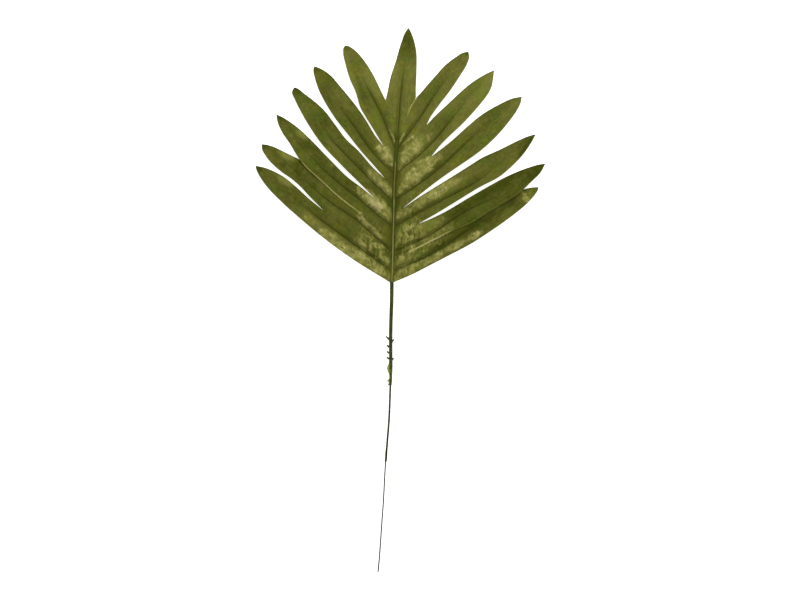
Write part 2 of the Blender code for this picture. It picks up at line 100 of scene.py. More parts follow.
# Pressed creases over the side ribs
CREASE_DEPTH = 0.35
CREASE_WIDTH = 1.1
CREASE_START = 0.03
CREASE_FADE = (0.45, 0.74)
SECOND_CREASE_OFFSET = 2.5
SECOND_CREASE_DEPTH = 0.18
SECOND_CREASE_FADE = (0.2, 0.42)
LINE_WIDTH = 0.85
SECOND_LINE_WIDTH = 0.6
SECOND_LINE_SHARE = 0.6

# Crinkles of the fabric near the rib, and slow waves further out
CRINKLE_HEIGHT = 0.8
CRINKLE_LENGTH = 5.0
CRINKLE_SLANT = 0.6
FINE_CRINKLE_HEIGHT = 0.2
FINE_CRINKLE_LENGTH = 2.2
BASE_CRINKLE = 0.14
CRUMPLE_CRINKLE = 0.4
CRINKLE_START = 4.0
WAVE_HEIGHT = 0.5
WAVE_LENGTH = 28.0
WAVE_START = 60.0

# Stem moulding
STEM_LINE = [(-8.6, 10.0), (-8.7, -0.2), (-9.4, -20.2), (-9.7, -37.2), (-9.6, -58.2), (-9.5, -68.2)]
STEM_END_LINE = [(-9.6, -74.0), (-9.7, -80.2), (-10.0, -85.2)]
STEM_TOP_RADIUS = 1.75
STEM_LOW_RADIUS = 1.6
STEM_END_RADII = [1.45, 1.35, 1.25]
STEM_END_AXIS_HEIGHT = 1.46
STEM_SIDES = 28
STEM_REST_GAP = 0.02
RIB_TOP_RADIUS = 0.9
RIB_END_Y = 156.5
SEAT_GAP = 0.05
SIDE_RIB_ROOT_RADIUS = 0.8
SIDE_RIB_END_RADIUS = 0.4
SIDE_RIB_SIDES = 10
SIDE_RIB_SHARE = 0.62
SIDE_RIB_STEP = 3
SIDE_RIB_START_IN = 2.0
SIDE_RIB_START_DROP = 0.4
TOP_RIB_START_IN = 4.0
TOP_RIB_START_DROP = 0.6
PARTING_LINE_HEIGHT = 0.09
SPUR_ROOT_RADIUS = 1.2
SPUR_TIP_RADIUS = 0.6
SPUR_SIDES = 8
SPUR_START = 1.0
SPUR_LIFT = 0.25
SPUR_TAPER_POWER = 0.7
FLASH_THICKNESS = 0.3
FLASH_EDGE_SHARE = 0.35
FLASH_WAVE_HEIGHT = 0.25
FLASH_WAVE_LENGTH = 2.5

# Wire and its coat
BORE_TOP_Y = -58.2
BORE_RADIUS = 1.08
COAT_LINE = [(-9.55, -61.0), (-9.5, -68.2), (-9.6, -74.0), (-9.7, -80.2), (-10.0, -85.2), (-10.5, -100.2),
             (-11.4, -120.2), (-13.0, -140.2), (-13.7, -149.0), (-14.0, -152.0), (-14.3, -157.5),
             (-14.7, -161.7)]
COAT_RADIUS = 1.0
COAT_UNEVENNESS = 0.03
COAT_UNEVEN_LENGTH = 3.0
COAT_UNEVEN_START = (-88.0, -93.0)
BEAD_RADIUS = 1.14
BEAD_RISE = 4.0
BEAD_ROUNDING = 0.35
BEAD_ROUNDED_LENGTH = 1.0
COAT_BORE_RADIUS = 0.72
COAT_SIDES = 24
COAT_END_AXIS_HEIGHT = 1.15
WIRE_LINE = [(-15.85, -180.2), (-16.9, -200.2), (-18.35, -220.2), (-19.75, -240.2), (-21.2, -260.2),
             (-22.4, -272.2)]
WIRE_RADIUS = 0.66
WIRE_SIDES = 20
WIRE_INSET = 1.5
WIRE_TIP_SHARE = 0.8
WIRE_TIP_STEP = 0.08

Lobe = namedtuple("Lobe", "side tip tip_height tone vein left right")

# Lobes clockwise from the foot's left: left_6 to left_1, the top lobe, then right_1 to right_6. Each edge
# runs from the cut's inner end to the tip, and left and right are as seen from the root. side is -1 left of
# the rib, 0 at its top and 1 right of it, and tone says how light the lobe is.
LOBES = [
    Lobe(-1, (-145.0, 134.2), 0.6, 0.08,
         vein=[(-34.9, 47.4), (-63.4, 67.8), (-95.4, 91.8)],
         left=[(-20.7, 23.7), (-40.6, 35.9), (-70.4, 56.8), (-100.4, 81.3), (-120.4, 99.3), (-132.2, 111.5),
               (-140.6, 123.1), (-143.6, 128.8)],
         right=[(-90.2, 100.1), (-105.3, 113.8), (-115.3, 122.0), (-125.2, 127.8), (-135.2, 132.0)]),
    Lobe(-1, (-138.8, 155.6), 1.6, 0.02,
         vein=[(-42.0, 78.0), (-71.6, 98.4), (-105.0, 127.0)],
         left=[(-90.2, 102.5), (-100.4, 113.5), (-107.6, 119.8), (-120.6, 129.1), (-128.9, 136.6),
               (-134.6, 143.6), (-138.4, 150.8)],
         right=[(-60.52, 102.03), (-80.54, 120.11), (-84.3, 123.5), (-89.6, 129.3), (-95.2, 136.4),
                (-100.7, 140.2), (-108.4, 144.0), (-118.4, 149.0), (-128.4, 153.6), (-134.0, 155.1)]),
    Lobe(-1, (-123.8, 185.3), 5.6, -0.02,
         vein=[(-40.0, 99.4), (-63.4, 117.8), (-95.0, 148.5)],
         left=[(-60.48, 102.07), (-80.52, 120.13), (-94.4, 132.6), (-100.7, 140.1), (-110.6, 156.1),
               (-118.6, 168.1), (-123.0, 178.6)],
         right=[(-40.6, 113.4), (-50.5, 120.6), (-70.3, 139.9), (-90.2, 160.5), (-100.2, 170.0),
                (-110.4, 177.8), (-117.5, 182.3)]),
    Lobe(-1, (-106.1, 212.5), 3.6, 0.0,
         vein=[(-33.9, 123.8), (-48.4, 138.2), (-70.4, 161.8)],
         left=[(-40.8, 116.4), (-60.9, 136.4), (-78.7, 155.6), (-90.0, 171.8), (-100.2, 189.3),
               (-105.4, 199.8), (-108.4, 208.0)],
         right=[(-26.1, 130.8), (-42.6, 149.4), (-54.0, 160.1), (-65.0, 174.6), (-76.4, 189.5),
                (-88.2, 200.1), (-97.2, 206.9), (-102.2, 211.0)]),
    Lobe(-1, (-85.9, 233.5), 4.4, 0.04,
         vein=[(-28.8, 148.4), (-46.1, 172.7), (-60.4, 191.8)],
         left=[(-24.9, 132.0), (-40.3, 149.5), (-50.8, 162.9), (-65.2, 181.3), (-76.7, 199.8), (-81.9, 210.5),
               (-85.3, 221.0), (-86.9, 230.5)],
         right=[(-25.2, 164.0), (-34.9, 180.1), (-45.0, 194.5), (-60.3, 213.3), (-70.4, 224.8),
                (-80.4, 231.3)]),
    Lobe(-1, (-55.1, 254.3), 3.0, 0.24,
         vein=[(-20.6, 188.0), (-32.8, 211.4)],
         left=[(-25.2, 167.0), (-35.2, 183.3), (-39.1, 189.8), (-44.9, 207.8), (-50.5, 220.5), (-54.8, 234.8),
               (-57.3, 248.0), (-57.0, 251.8)],
         right=[(-19.6, 209.2), (-29.5, 228.8), (-39.3, 243.0), (-47.1, 250.8), (-51.4, 253.4)]),
    Lobe(0, (8.2, 272.2), 0.6, 0.26,
         vein=[(-1.5, 177.2), (-0.4, 194.8), (1.6, 214.8)],
         left=[(-13.2, 205.8), (-9.9, 221.9), (-5.0, 237.2), (1.4, 258.8), (4.5, 266.9)],
         right=[(10.95, 194.25), (15.05, 200.9), (15.4, 209.8), (16.2, 230.0), (15.8, 249.5), (13.2, 260.8),
                (10.6, 267.6)]),
    Lobe(1, (68.1, 247.8), 4.6, 0.24,
         vein=[(22.1, 185.5), (38.4, 210.4)],
         left=[(11.0, 194.2), (15.15, 200.85), (20.0, 206.3), (35.1, 223.7), (45.1, 234.6), (54.9, 242.2),
               (62.6, 246.9)],
         right=[(29.4, 181.1), (39.4, 195.5), (49.6, 208.7), (59.8, 224.1), (66.5, 235.2), (68.8, 242.8)]),
    Lobe(1, (93.9, 229.5), 3.2, 0.27,
         vein=[(31.9, 156.8), (54.6, 184.8), (69.6, 202.8)],
         left=[(33.5, 182.3), (49.6, 197.6), (59.6, 207.1), (69.7, 215.7), (79.7, 222.4), (89.6, 227.8)],
         right=[(40.0, 154.4), (50.0, 164.4), (59.9, 173.7), (79.6, 195.3), (87.5, 205.6), (91.2, 213.0),
                (92.8, 221.8)]),
    Lobe(1, (121.4, 203.1), 4.2, 0.1,
         vein=[(38.4, 130.8), (69.6, 159.8)],
         left=[(39.6, 149.6), (49.7, 157.6), (69.8, 175.5), (79.6, 183.6), (99.6, 195.6), (112.0, 201.2)],
         right=[(10.1, 97.5), (20.1, 105.5), (40.0, 120.8), (59.8, 134.4), (80.1, 148.8), (100.1, 167.8),
                (110.0, 180.0), (116.4, 189.1), (120.4, 197.5)]),
    Lobe(1, (135.6, 165.6), 3.4, 0.08,
         vein=[(41.6, 99.3), (74.6, 116.8), (105.0, 140.0)],
         left=[(19.7, 103.1), (39.4, 115.3), (69.2, 134.0), (79.3, 140.5), (99.5, 150.1), (119.4, 159.9),
               (127.8, 163.5)],
         right=[(39.4, 88.1), (59.6, 100.5), (79.7, 112.7), (99.8, 123.5), (107.3, 129.7), (123.8, 146.7),
                (129.7, 155.2)]),
    Lobe(1, (145.0, 136.0), 5.0, -0.05,
         vein=[(27.6, 63.6), (64.6, 87.8), (99.6, 104.8)],
         left=[(29.7, 80.7), (39.8, 85.4), (69.6, 102.7), (89.5, 114.1), (109.5, 124.7), (129.6, 132.6),
               (139.0, 135.3)],
         right=[(19.67, 53.17), (39.67, 63.12), (50.6, 68.3), (69.6, 76.3), (89.6, 88.8), (109.6, 100.8),
                (122.0, 109.3), (130.5, 117.5), (140.3, 127.5)]),
    Lobe(1, (138.1, 112.8), 0.6, 0.0,
         vein=[(35.1, 47.3), (65.5, 67.9), (99.6, 87.8)],
         left=[(19.69, 53.13), (39.69, 63.08), (50.6, 68.5), (69.6, 78.6), (89.6, 91.0), (109.6, 103.0),
               (124.4, 110.7), (131.0, 112.2)],
         right=[(9.9, 24.5), (29.8, 34.6), (49.6, 44.9), (69.8, 55.5), (89.8, 68.3), (109.5, 82.2),
                (129.2, 98.8), (134.7, 105.2), (137.6, 110.0)]),
]

TOP_LOBE = 6

# Values that the fabric's material reads at each point of the blade
LOBE_VALUES = ("gloss_and_painted_sheen", "crease", "fold_shade", "crumple", "tone", "rim", "glint", "across", "along")

# Inner ends of the cuts between one lobe and the next, in the same order
CUT_ENDS = [(-77.4, 89.8), (-42.4, 88.2), (-25.7, 101.3), (-16.0, 121.7), (-17.0, 153.5), (-14.8, 199.2),
            (7.6, 187.8), (26.4, 174.7), (30.7, 142.7), (2.2, 91.3), (18.4, 75.9), (1.6, 43.8)]

# Oval spots of the cloth: x, y, angle in degrees from +X, half length, half width and strength.
# Limits are where a spot starts to fade and where it ends, as shares of its half length and width.

# Glossy places by panel: a lower roughness, higher crinkles, and painted sheen and painted highlights in the
# cloth's colour. A panel is the cloth between one lobe's crease and the next one's, counted clockwise from
# the outer half of left_6.
GLOSS_AND_PAINTED_SHEEN_PATCHES = {
    0: [(-88, 78, -42, 16, 4, 0.35), (-70, 62, -38, 14, 5, 0.75), (-51, 49, -36, 12, 6, 0.7),
        (-38, 42, -60, 8, 6, 0.9), (-25, 32, -35, 9, 5, 0.8), (-12, 23, -30, 5, 3, 0.5)],
    1: [(-38, 54, -60, 7, 3, 0.8), (-22, 54, -15, 8, 2.6, 0.75), (-29.5, 50, 100, 5, 1.8, 0.75),
        (-17, 43, -55, 8, 4.5, 0.6), (-46, 58, -60, 6, 3, 0.35)],
    2: [(-38.5, 80, -62, 8.5, 3.6, 0.85), (-28.5, 70.5, -45, 7.5, 3.2, 0.9), (-21, 64, -45, 3.5, 2.8, 0.75)],
    3: [(-24, 94, -42, 22, 8, 0.95), (-24, 94, -45, 7, 5, 1.6), (-20, 91, -45, 10, 5, 0.8),
        (-42, 109, 90, 4.5, 1.4, 0.8)],
    4: [(-21, 117, -50, 19, 6.5, 0.9)],
    5: [(-16, 143, -59, 15, 5.5, 0.75), (-14, 147, -59, 10, 6, 0.35)],
    6: [(-8.2, 163.3, 114, 7.5, 1.3, 0.75)],
    7: [(1.8, 161.8, 64, 6.5, 1.3, 0.75)],
    8: [(11, 147, 52, 15, 8.5, 0.75), (17, 156, 45, 7, 3, 0.5), (3, 143, 70, 9, 1.8, 0.6),
        (9, 160.5, 38, 10, 0.9, 0.6), (0, 132, 60, 4, 1, 0.5), (28, 163, 40, 5, 4, 0.35)],
    9: [(24, 133, 38, 13, 7, 0.95), (12, 122, 35, 10, 7, 0.75), (3, 115, 60, 10, 3, 0.75),
        (7, 113, -15, 5, 1.5, 0.6), (36, 142, 35, 7, 4, 0.6), (-2, 107, 60, 5, 1.8, 0.5)],
    10: [(32, 105, 30, 16, 5, 0.85), (47, 114, 30, 12, 4.5, 0.8), (41, 110, 30, 7, 3, 1.4),
         (60, 118, 30, 9, 4, 0.3), (18, 96, 60, 6, 5, 0.7), (-2, 87, 75, 8, 1.8, 0.55),
         (5, 88, 30, 9, 4, 0.5)],
    11: [(7.5, 71, 27, 8, 1.6, 0.7), (-2, 64, 75, 7, 1.8, 0.6), (24, 78, 20, 7, 3.5, 0.2),
         (12, 62, 20, 14, 4, 0.35), (38, 80, 25, 8, 4, 0.3)],
    12: [(10, 53, -45, 7, 4, 0.65), (1, 42, 60, 7, 2.5, 0.6), (26, 60, 25, 11, 4, 0.5),
         (46, 70, 28, 10, 3.5, 0.3), (4, 34, 55, 7, 2, 0.5), (124, 105.2, -39, 5, 2.6, 0.75)],
    13: [(74, 64, 25, 8, 4, 0.75), (55, 54, 28, 13, 4, 0.65), (37, 44, 50, 7, 4, 0.7),
         (29, 41.5, 28, 9, 3, 0.6), (12, 31, 40, 8, 5, 0.35), (-1, 25, 30, 7, 4, 0.55),
         (24, 37, 28, 9, 4, 0.55), (124, 102.5, -39, 9, 3, 1.0)],
}
PATCH_LIMITS = (0.45, 1.5)

# Places near the rib's foot where the cloth is finely crumpled, with higher crinkles and painted light and
# shade on its wrinkles
CRUMPLED = [(8, 58, 70, 30, 14, 1.0), (20, 45, 30, 26, 9, 0.7), (30, 65, 28, 26, 8, 0.5),
            (-24, 48, -50, 24, 15, 0.9), (-6, 26, 0, 14, 10, 0.9), (-30, 70, -48, 22, 9, 0.5),
            (-55, 52, -38, 30, 7, 0.4), (12, 96, 60, 18, 8, 0.4), (-24, 35, -36, 20, 6, 0.9),
            (9, 31, 30, 18, 6, 0.9), (40, 48, 28, 24, 5, 0.45)]
CRUMPLED_LIMITS = (0.3, 1.4)

# Lighter and darker places of the cloth, by the lobe's number: partly the cloth's own tone and partly painted
# light and shade, such as the painted shadow that left_4 casts on left_5
TONES = {
    0: [(-115, 119, -30, 9, 4, 0.9), (-106, 103, -45, 14, 8, -0.12), (-143, 132, -45, 5, 4, -0.3),
        (-62, 59, -38, 42, 6, 0.3), (-16, 24, -30, 12, 6, 0.25), (-16, 35, -35, 9, 5, 0.2)],
    1: [(-112, 144, -25, 9, 4, 0.8), (-103, 130, -70, 11, 5, -0.22), (-117, 135, 0, 3, 3, -0.15),
        (-137, 154, -30, 5, 4, -0.2), (-90, 112, 45, 16, 8, -0.1), (-120, 140, -40, 12, 6, -0.12)],
    2: [(-98, 165, -40, 7, 4, 0.8), (-91, 158, -50, 10, 6, -0.1), (-122, 183, -50, 5, 4, -0.2),
        (-108, 160, -55, 14, 4, 0.1)],
    3: [(-75, 180, -55, 10, 5, -0.2), (-62, 152, -48, 16, 5, 0.12), (-105, 210, -50, 6, 4, -0.2)],
    4: [(-55, 198, -50, 16, 5, 0.16), (-62, 198, -52, 20, 4, 0.07), (-85, 231, -50, 5, 4, -0.25)],
    5: [(-50, 222, -73, 25, 5, 0.16), (-37, 205, -66, 22, 5, -0.28), (-26, 212, -60, 20, 4.5, 0.14),
        (-55, 252, -60, 5, 4, -0.3), (-40, 219, -68, 14, 4, -0.08)],
    6: [(8, 260, 80, 24, 13, -0.45), (-3, 188, 85, 16, 7, 0.08), (-7, 222, 75, 22, 4, 0.12),
        (9, 235, 90, 20, 5, 0.07)],
    7: [(67, 247, 50, 3, 2.5, -0.5), (38, 214, 50, 22, 5, -0.06), (-1, 150, 70, 12, 4, -0.2)],
    8: [(73, 200, 42, 26, 5, 0.18), (88, 222, 50, 10, 6, 0.12), (52, 186, 48, 24, 5, -0.14),
        (-3.2, 128, 88, 15, 3.5, -0.35)],
    9: [(114, 194, 50, 14, 5, 0.16), (-3.8, 104, 88, 17, 3.5, -0.35), (70, 158, 40, 26, 8, -0.08),
        (88, 174, 40, 18, 7, -0.06)],
    10: [(130, 155, 45, 16, 10, -0.4), (125, 149, 53, 13, 3.5, -0.3), (90, 137, 30, 20, 6, 0.05),
         (45, 112, 30, 34, 7, 0.25)],
    11: [(128, 125, 30, 28, 13, -0.2), (20, 70, 25, 26, 10, 0.5), (88, 109, 32, 44, 4.5, -0.28),
         (40, 70, 25, 12, 5, 0.2)],
    12: [(68, 72, 31, 24, 6, -0.14), (110, 88, 35, 10, 4, 0.14), (88, 78, 30, 36, 6, -0.14),
         (105, 82, 33, 22, 5, 0.16), (128, 105, 35, 12, 7, 0.3), (10, 42, 30, 24, 10, 0.5),
         (0, 24, 30, 12, 6, 0.25), (18, 49, 27, 9, 2.5, -0.35), (40, 54, 29, 14, 4, -0.3)],
}
TONE_LIMITS = (0.2, 1.5)
TONE_BLEND = 0.15

Glint = namedtuple("Glint", "lobe side start end strength")

# Cut edges that catch the light. Side is -1 for a lobe's left edge and 1 for its right one, and start and
# end are shares of the lobe's length.
EDGE_GLINTS = [Glint(2, -1, 0.22, 0.7, 0.6), Glint(1, 1, 0.22, 0.66, 0.3), Glint(11, 1, 0.06, 0.37, 1.0),
               Glint(12, -1, 0.06, 0.35, 0.5), Glint(7, -1, 0.2, 0.42, 0.55)]
GLINT_FADE = 0.05
GLINT_WIDTH = 0.55

# Painted light and shade on the rims of the free edges, painted shade in the folds along the creases, and
# painted shade beside the rib
RIM_WIDTH = 0.7
RIM_START = 0.03
FOLD_SHADE_WIDTH = 3.8
RIB_SHADE_LIMITS = (3.0, 8.0)
RIB_SHADE_AT_FOOT = 0.3
RIB_SHADE_RISE = (20.0, 80.0)
RIB_SHADE_END = (145.0, 160.0)

# Spurs: root on the stem's centre line, then tip
SPURS = [((-10.6, -40.2), (-14.6, -36.4)), ((-9.4, -42.6), (-6.3, -39.5)), ((-10.6, -47.8), (-13.7, -45.1)),
         ((-10.6, -53.9), (-13.7, -51.4)), ((-10.6, -59.7), (-13.7, -57.2)), ((-9.4, -60.9), (-6.5, -58.1)),
         ((-10.2, -84.4), (-12.2, -84.4))]

# Mould flash: outlines of the two thin scraps on the stem's left side
FLASH_SCRAPS = [
    [(-10.0, -60.5), (-12.0, -63.9), (-13.3, -67.0), (-13.5, -68.9), (-12.4, -72.3), (-10.3, -76.3)],
    [(-10.2, -78.0), (-11.6, -78.9), (-13.3, -81.5), (-11.2, -82.9), (-10.2, -83.4)],
]

# Fabric colours in linear light, hue clouds with their scale, amount and tint, and tinted lines and edges
# with the mesh value that says where they are, their amount and their colour. The four cloth colours after
# the two olives are painted sheen, a painted highlight, and painted light and shade on the wrinkles. The
# tinted lines and edges are painted light and shade: painted shade in the folds, beside the rib, along the
# creases and in the ridge's grooves with a darker ridge top, a painted highlight on the ridge's crest,
# painted light and shade on the rims, and painted glints on the cut edges.
DEEP_OLIVE = (0.045, 0.053, 0.002)
PALE_OLIVE = (0.2, 0.2, 0.04)
PAINTED_SHEEN_CLOTH = (0.33, 0.315, 0.08)
PAINTED_HIGHLIGHT_CLOTH = (0.56, 0.5, 0.22)
LIT_WRINKLE = (0.36, 0.35, 0.09)
SHADED_WRINKLE = (0.045, 0.053, 0.003)
CLOTH_BACK = (0.12, 0.15, 0.05)
HUE_CLOUDS = [(70.0, 0.55, (0.72, 1.06, 0.6)), (97.0, 0.6, (1.12, 1.12, 0.5)),
              (160.0, 0.35, (0.95, 0.78, 1.4))]
LINE_TINTS = [("fold_shade", 0.4, (0.04, 0.058, 0.002)), ("rib_valley_shade", 0.35, (0.04, 0.045, 0.002)),
              ("crease", 0.75, (0.03, 0.028, 0.001)), ("rib", 0.85, (0.45, 0.44, 0.18)),
              ("rib", -0.9, (0.03, 0.038, 0.001)), ("rim", 0.3, (0.25, 0.25, 0.05)),
              ("rim", -0.4, (0.03, 0.03, 0.004)), ("glint", 1.0, (0.6, 0.56, 0.16))]

# Picture frame and lights, in metres and watts
VIEW_WIDTH = 0.8
VIEW_CENTRE = (-0.0004, -0.0002)
CAMERA_HEIGHT = 4.0
SENSOR_WIDTH = 36.0
FLOOR_SIZE = 30.0
FLOOR_DROP = 0.0002
Light = namedtuple("Light", "name place size power")
LIGHTS = [Light("key_box", (0.25, 2.0, 1.7), (2.4, 1.2), 57.0),
          Light("left_box", (-2.0, 0.2, 1.0), (2.0, 1.0), 11.0),
          Light("right_box", (2.0, 0.2, 1.0), (2.0, 1.0), 11.0)]
LIGHT_TARGET = (0.0, 0.1, 0.0)
SURROUND_HEIGHTS = (0.3, 0.78)
SURROUND_STRENGTHS = (1.0, 0.03)


def smooth_path(points, steps=16):
    """Dense polyline of the smooth curve through the points."""
    points = np.array(points, float)
    knots = np.concatenate([[0.0], np.cumsum(np.linalg.norm(np.diff(points, axis=0), axis=1))])
    slopes = np.gradient(points, knots, axis=0)
    stretches = [np.linspace(a, b, steps, endpoint=False) for a, b in zip(knots, knots[1:])]
    t = np.concatenate(stretches + [knots[-1:]])
    i = np.clip(np.searchsorted(knots, t, side="right") - 1, 0, len(points) - 2)
    gap = (knots[i + 1] - knots[i])[:, None]
    x = (t - knots[i])[:, None] / gap
    start = (1 + 2 * x) * (1 - x) ** 2 * points[i] + x * (1 - x) ** 2 * gap * slopes[i]
    end = x ** 2 * (3 - 2 * x) * points[i + 1] + x ** 2 * (x - 1) * gap * slopes[i + 1]
    return start + end


def length_along(path):
    """Distance along a polyline of each of its points."""
    return np.concatenate([[0.0], np.cumsum(np.linalg.norm(np.diff(path, axis=0), axis=1))])


def at_fractions(path, fractions):
    """Points of a polyline at these fractions of its length."""
    length = length_along(path)
    wanted = np.asarray(fractions) * length[-1]
    return np.column_stack([np.interp(wanted, length, axis) for axis in path.T])


def ease(value, start=0.0, end=1.0):
    """Smooth step from 0 at the start to 1 at the end."""
    share = np.clip((value - start) / (end - start), 0.0, 1.0)
    return share * share * (3 - 2 * share)


def bell(distance, width):
    """Smooth bump that is 1 at no distance."""
    return np.exp(-(distance / width) ** 2)


def rib_x(y):
    """X of the rib's middle at a height on the leaf."""
    x_values, y_values = np.array(RIB_LINE[::-1]).T
    return np.interp(y, y_values, x_values)


def rib_height(y):
    """Height of the blade's face along its middle."""
    rise = (CREST_HEIGHT - FOOT_HEIGHT) * ease(y, SEAM_ROOTS[-1], CREST_Y)
    top_lobe = LOBES[TOP_LOBE]
    past_crest = np.clip((y - CREST_Y) / (top_lobe.tip[1] - CREST_Y), 0, None)
    height = FOOT_HEIGHT + rise - (CREST_HEIGHT - top_lobe.tip_height) * past_crest ** 2
    return height - (CAD_THICKNESS - FABRIC_THICKNESS)


def face_height(x, y):
    """Height of the blade's face before its pleats and the lift of its lobes."""
    return rib_height(y) - SIDE_FALL * (np.abs(x - rib_x(y)) / HALF_SPAN) ** FALL_POWER


def ridge_height(offset):
    """Height of the pressed ridge over the rib, with the groove on each side of it."""
    offsets, heights = np.array(RIDGE_PROFILE).T
    return np.interp(np.abs(offset), offsets, heights)


def groove_shade(offset):
    """How much painted shade darkens the grooves beside the ridge across the band, from 0 to 1."""
    return bell(np.abs(offset) - GROOVE_OFFSET, GROOVE_WIDTH)


def fading(place, limits=CREASE_FADE):
    """How strong a lobe's pressed crease still is at a place along it."""
    return 1 - ease(place, *limits)


def crease_height(distance, place):
    """Grooves of the pressed crease. The distance is negative on the lobe's upper half."""
    groove = CREASE_DEPTH * bell(distance, CREASE_WIDTH) * fading(place)
    second = SECOND_CREASE_DEPTH * bell(distance + SECOND_CREASE_OFFSET, SECOND_LINE_WIDTH)
    return -groove - second * fading(place, SECOND_CREASE_FADE)


def crease_shade_line(distance, place):
    """How much painted shade darkens the lines of the pressed crease, from 0 to 1."""
    line = bell(distance, LINE_WIDTH) * fading(place)
    second = bell(distance + SECOND_CREASE_OFFSET, SECOND_LINE_WIDTH) * fading(place, SECOND_CREASE_FADE)
    return line + SECOND_LINE_SHARE * second


def oval(x, y, spot, limits):
    """1 within an oval spot's core, falling smoothly to 0 at its edge."""
    middle_x, middle_y, degrees, half_length, half_width = spot
    angle = math.radians(degrees)
    along = (x - middle_x) * math.cos(angle) + (y - middle_y) * math.sin(angle)
    across = (y - middle_y) * math.cos(angle) - (x - middle_x) * math.sin(angle)
    reach = np.hypot(along / half_length, across / half_width)
    return 1 - ease(reach, *limits)


def patch_amount(x, y, panel):
    """How glossy the fabric is, with its painted sheen, at each point of a panel: 1 is full sheen,
    and above 1 the painted highlight is paler still.
    """
    dull = np.ones_like(x)
    extra = np.zeros_like(x)
    for *spot, strength in GLOSS_AND_PAINTED_SHEEN_PATCHES[panel]:
        cover = oval(x, y, spot, PATCH_LIMITS)
        dull *= 1 - min(strength, 1.0) * cover
        extra += max(strength - 1.0, 0.0) * cover
    return 1 - dull + extra


def tone_amount(x, y, index):
    """How much lighter or darker a lobe is at each point than as a whole."""
    return sum(amount * oval(x, y, spot, TONE_LIMITS) for *spot, amount in TONES[index])


def edge_glint(index, side, place):
    """How brightly a lobe's cut edge catches the light at a place along it."""
    glow = np.zeros_like(place)
    for glint in EDGE_GLINTS:
        if glint.lobe == index and glint.side * side > 0:
            rise = ease(place - glint.start, 0, GLINT_FADE)
            glow += glint.strength * rise * ease(glint.end - place, 0, GLINT_FADE)
    return glow


def waves(x, y, length, seed):
    """Smooth noise between about -1 and 1 at each point, with waves of about this length."""
    values = [noise.noise(Vector((a / length, b / length, seed))) for a, b in zip(x.ravel(), y.ravel())]
    return np.array(values).reshape(x.shape) * 1.6


def crinkles(x, y, amount):
    """Height of the crinkled fabric, more where the amount is larger."""
    folds = 1 - 2 * np.abs(waves(x + CRINKLE_SLANT * y, y - CRINKLE_SLANT * x, CRINKLE_LENGTH, 3.1))
    fine = waves(x, y, FINE_CRINKLE_LENGTH, 8.7)
    return amount * (CRINKLE_HEIGHT * folds + FINE_CRINKLE_HEIGHT * fine)


def band_point(side, y):
    """Point on the left or right border of the band over the rib, or on its middle."""
    return (float(rib_x(y)) + side * BAND_HALF_WIDTH, y)


def lobe_roots(index):
    """Points on the band where a lobe's left side, vein and right side start."""
    side = LOBES[index].side
    if side == 0:
        return [band_point(s, SEAM_ROOTS[0]) for s in (-1, 0, 1)]
    rank = abs(index - TOP_LOBE)
    heights = [SEAM_ROOTS[rank], VEIN_ROOTS[rank - 1], SEAM_ROOTS[rank - 1]]
    return [band_point(side, y) for y in (heights if side < 0 else heights[::-1])]


def lobe_border(root, cut_end, edge, tip):
    """Seam from the band to the cut's end, then the free edge to the tip, and the cut's place on it."""
    seam = np.array([root, cut_end]) if cut_end else np.array([root])
    free = smooth_path([tuple(seam[-1])] + edge + [tip])
    border_length = length_along(seam)[-1] + length_along(free)[-1]
    return seam, free, length_along(seam)[-1] / border_length


def border_points(seam, free, cut_share, seam_rows):
    """A lobe border's points, one a row, and their places along it from 0 to 1."""
    free_steps = np.linspace(0, 1, LOBE_ROWS - seam_rows + 1)
    free_shares = 1 - (1 - free_steps) ** TIP_CROWDING
    free_points = at_fractions(free, free_shares)
    places = cut_share + (1 - cut_share) * free_shares
    if seam_rows == 0:
        return free_points, places
    seam_steps = np.linspace(0, 1, seam_rows, endpoint=False)
    points = np.vstack([at_fractions(seam, seam_steps), free_points])
    return points, np.concatenate([cut_share * seam_steps, places])


def column_places():
    """Places across a lobe from its left edge, -1, over its vein, 0, to its right edge, 1."""
    half = np.array(HALF_COLUMNS)
    return np.concatenate([-half[:0:-1], half])


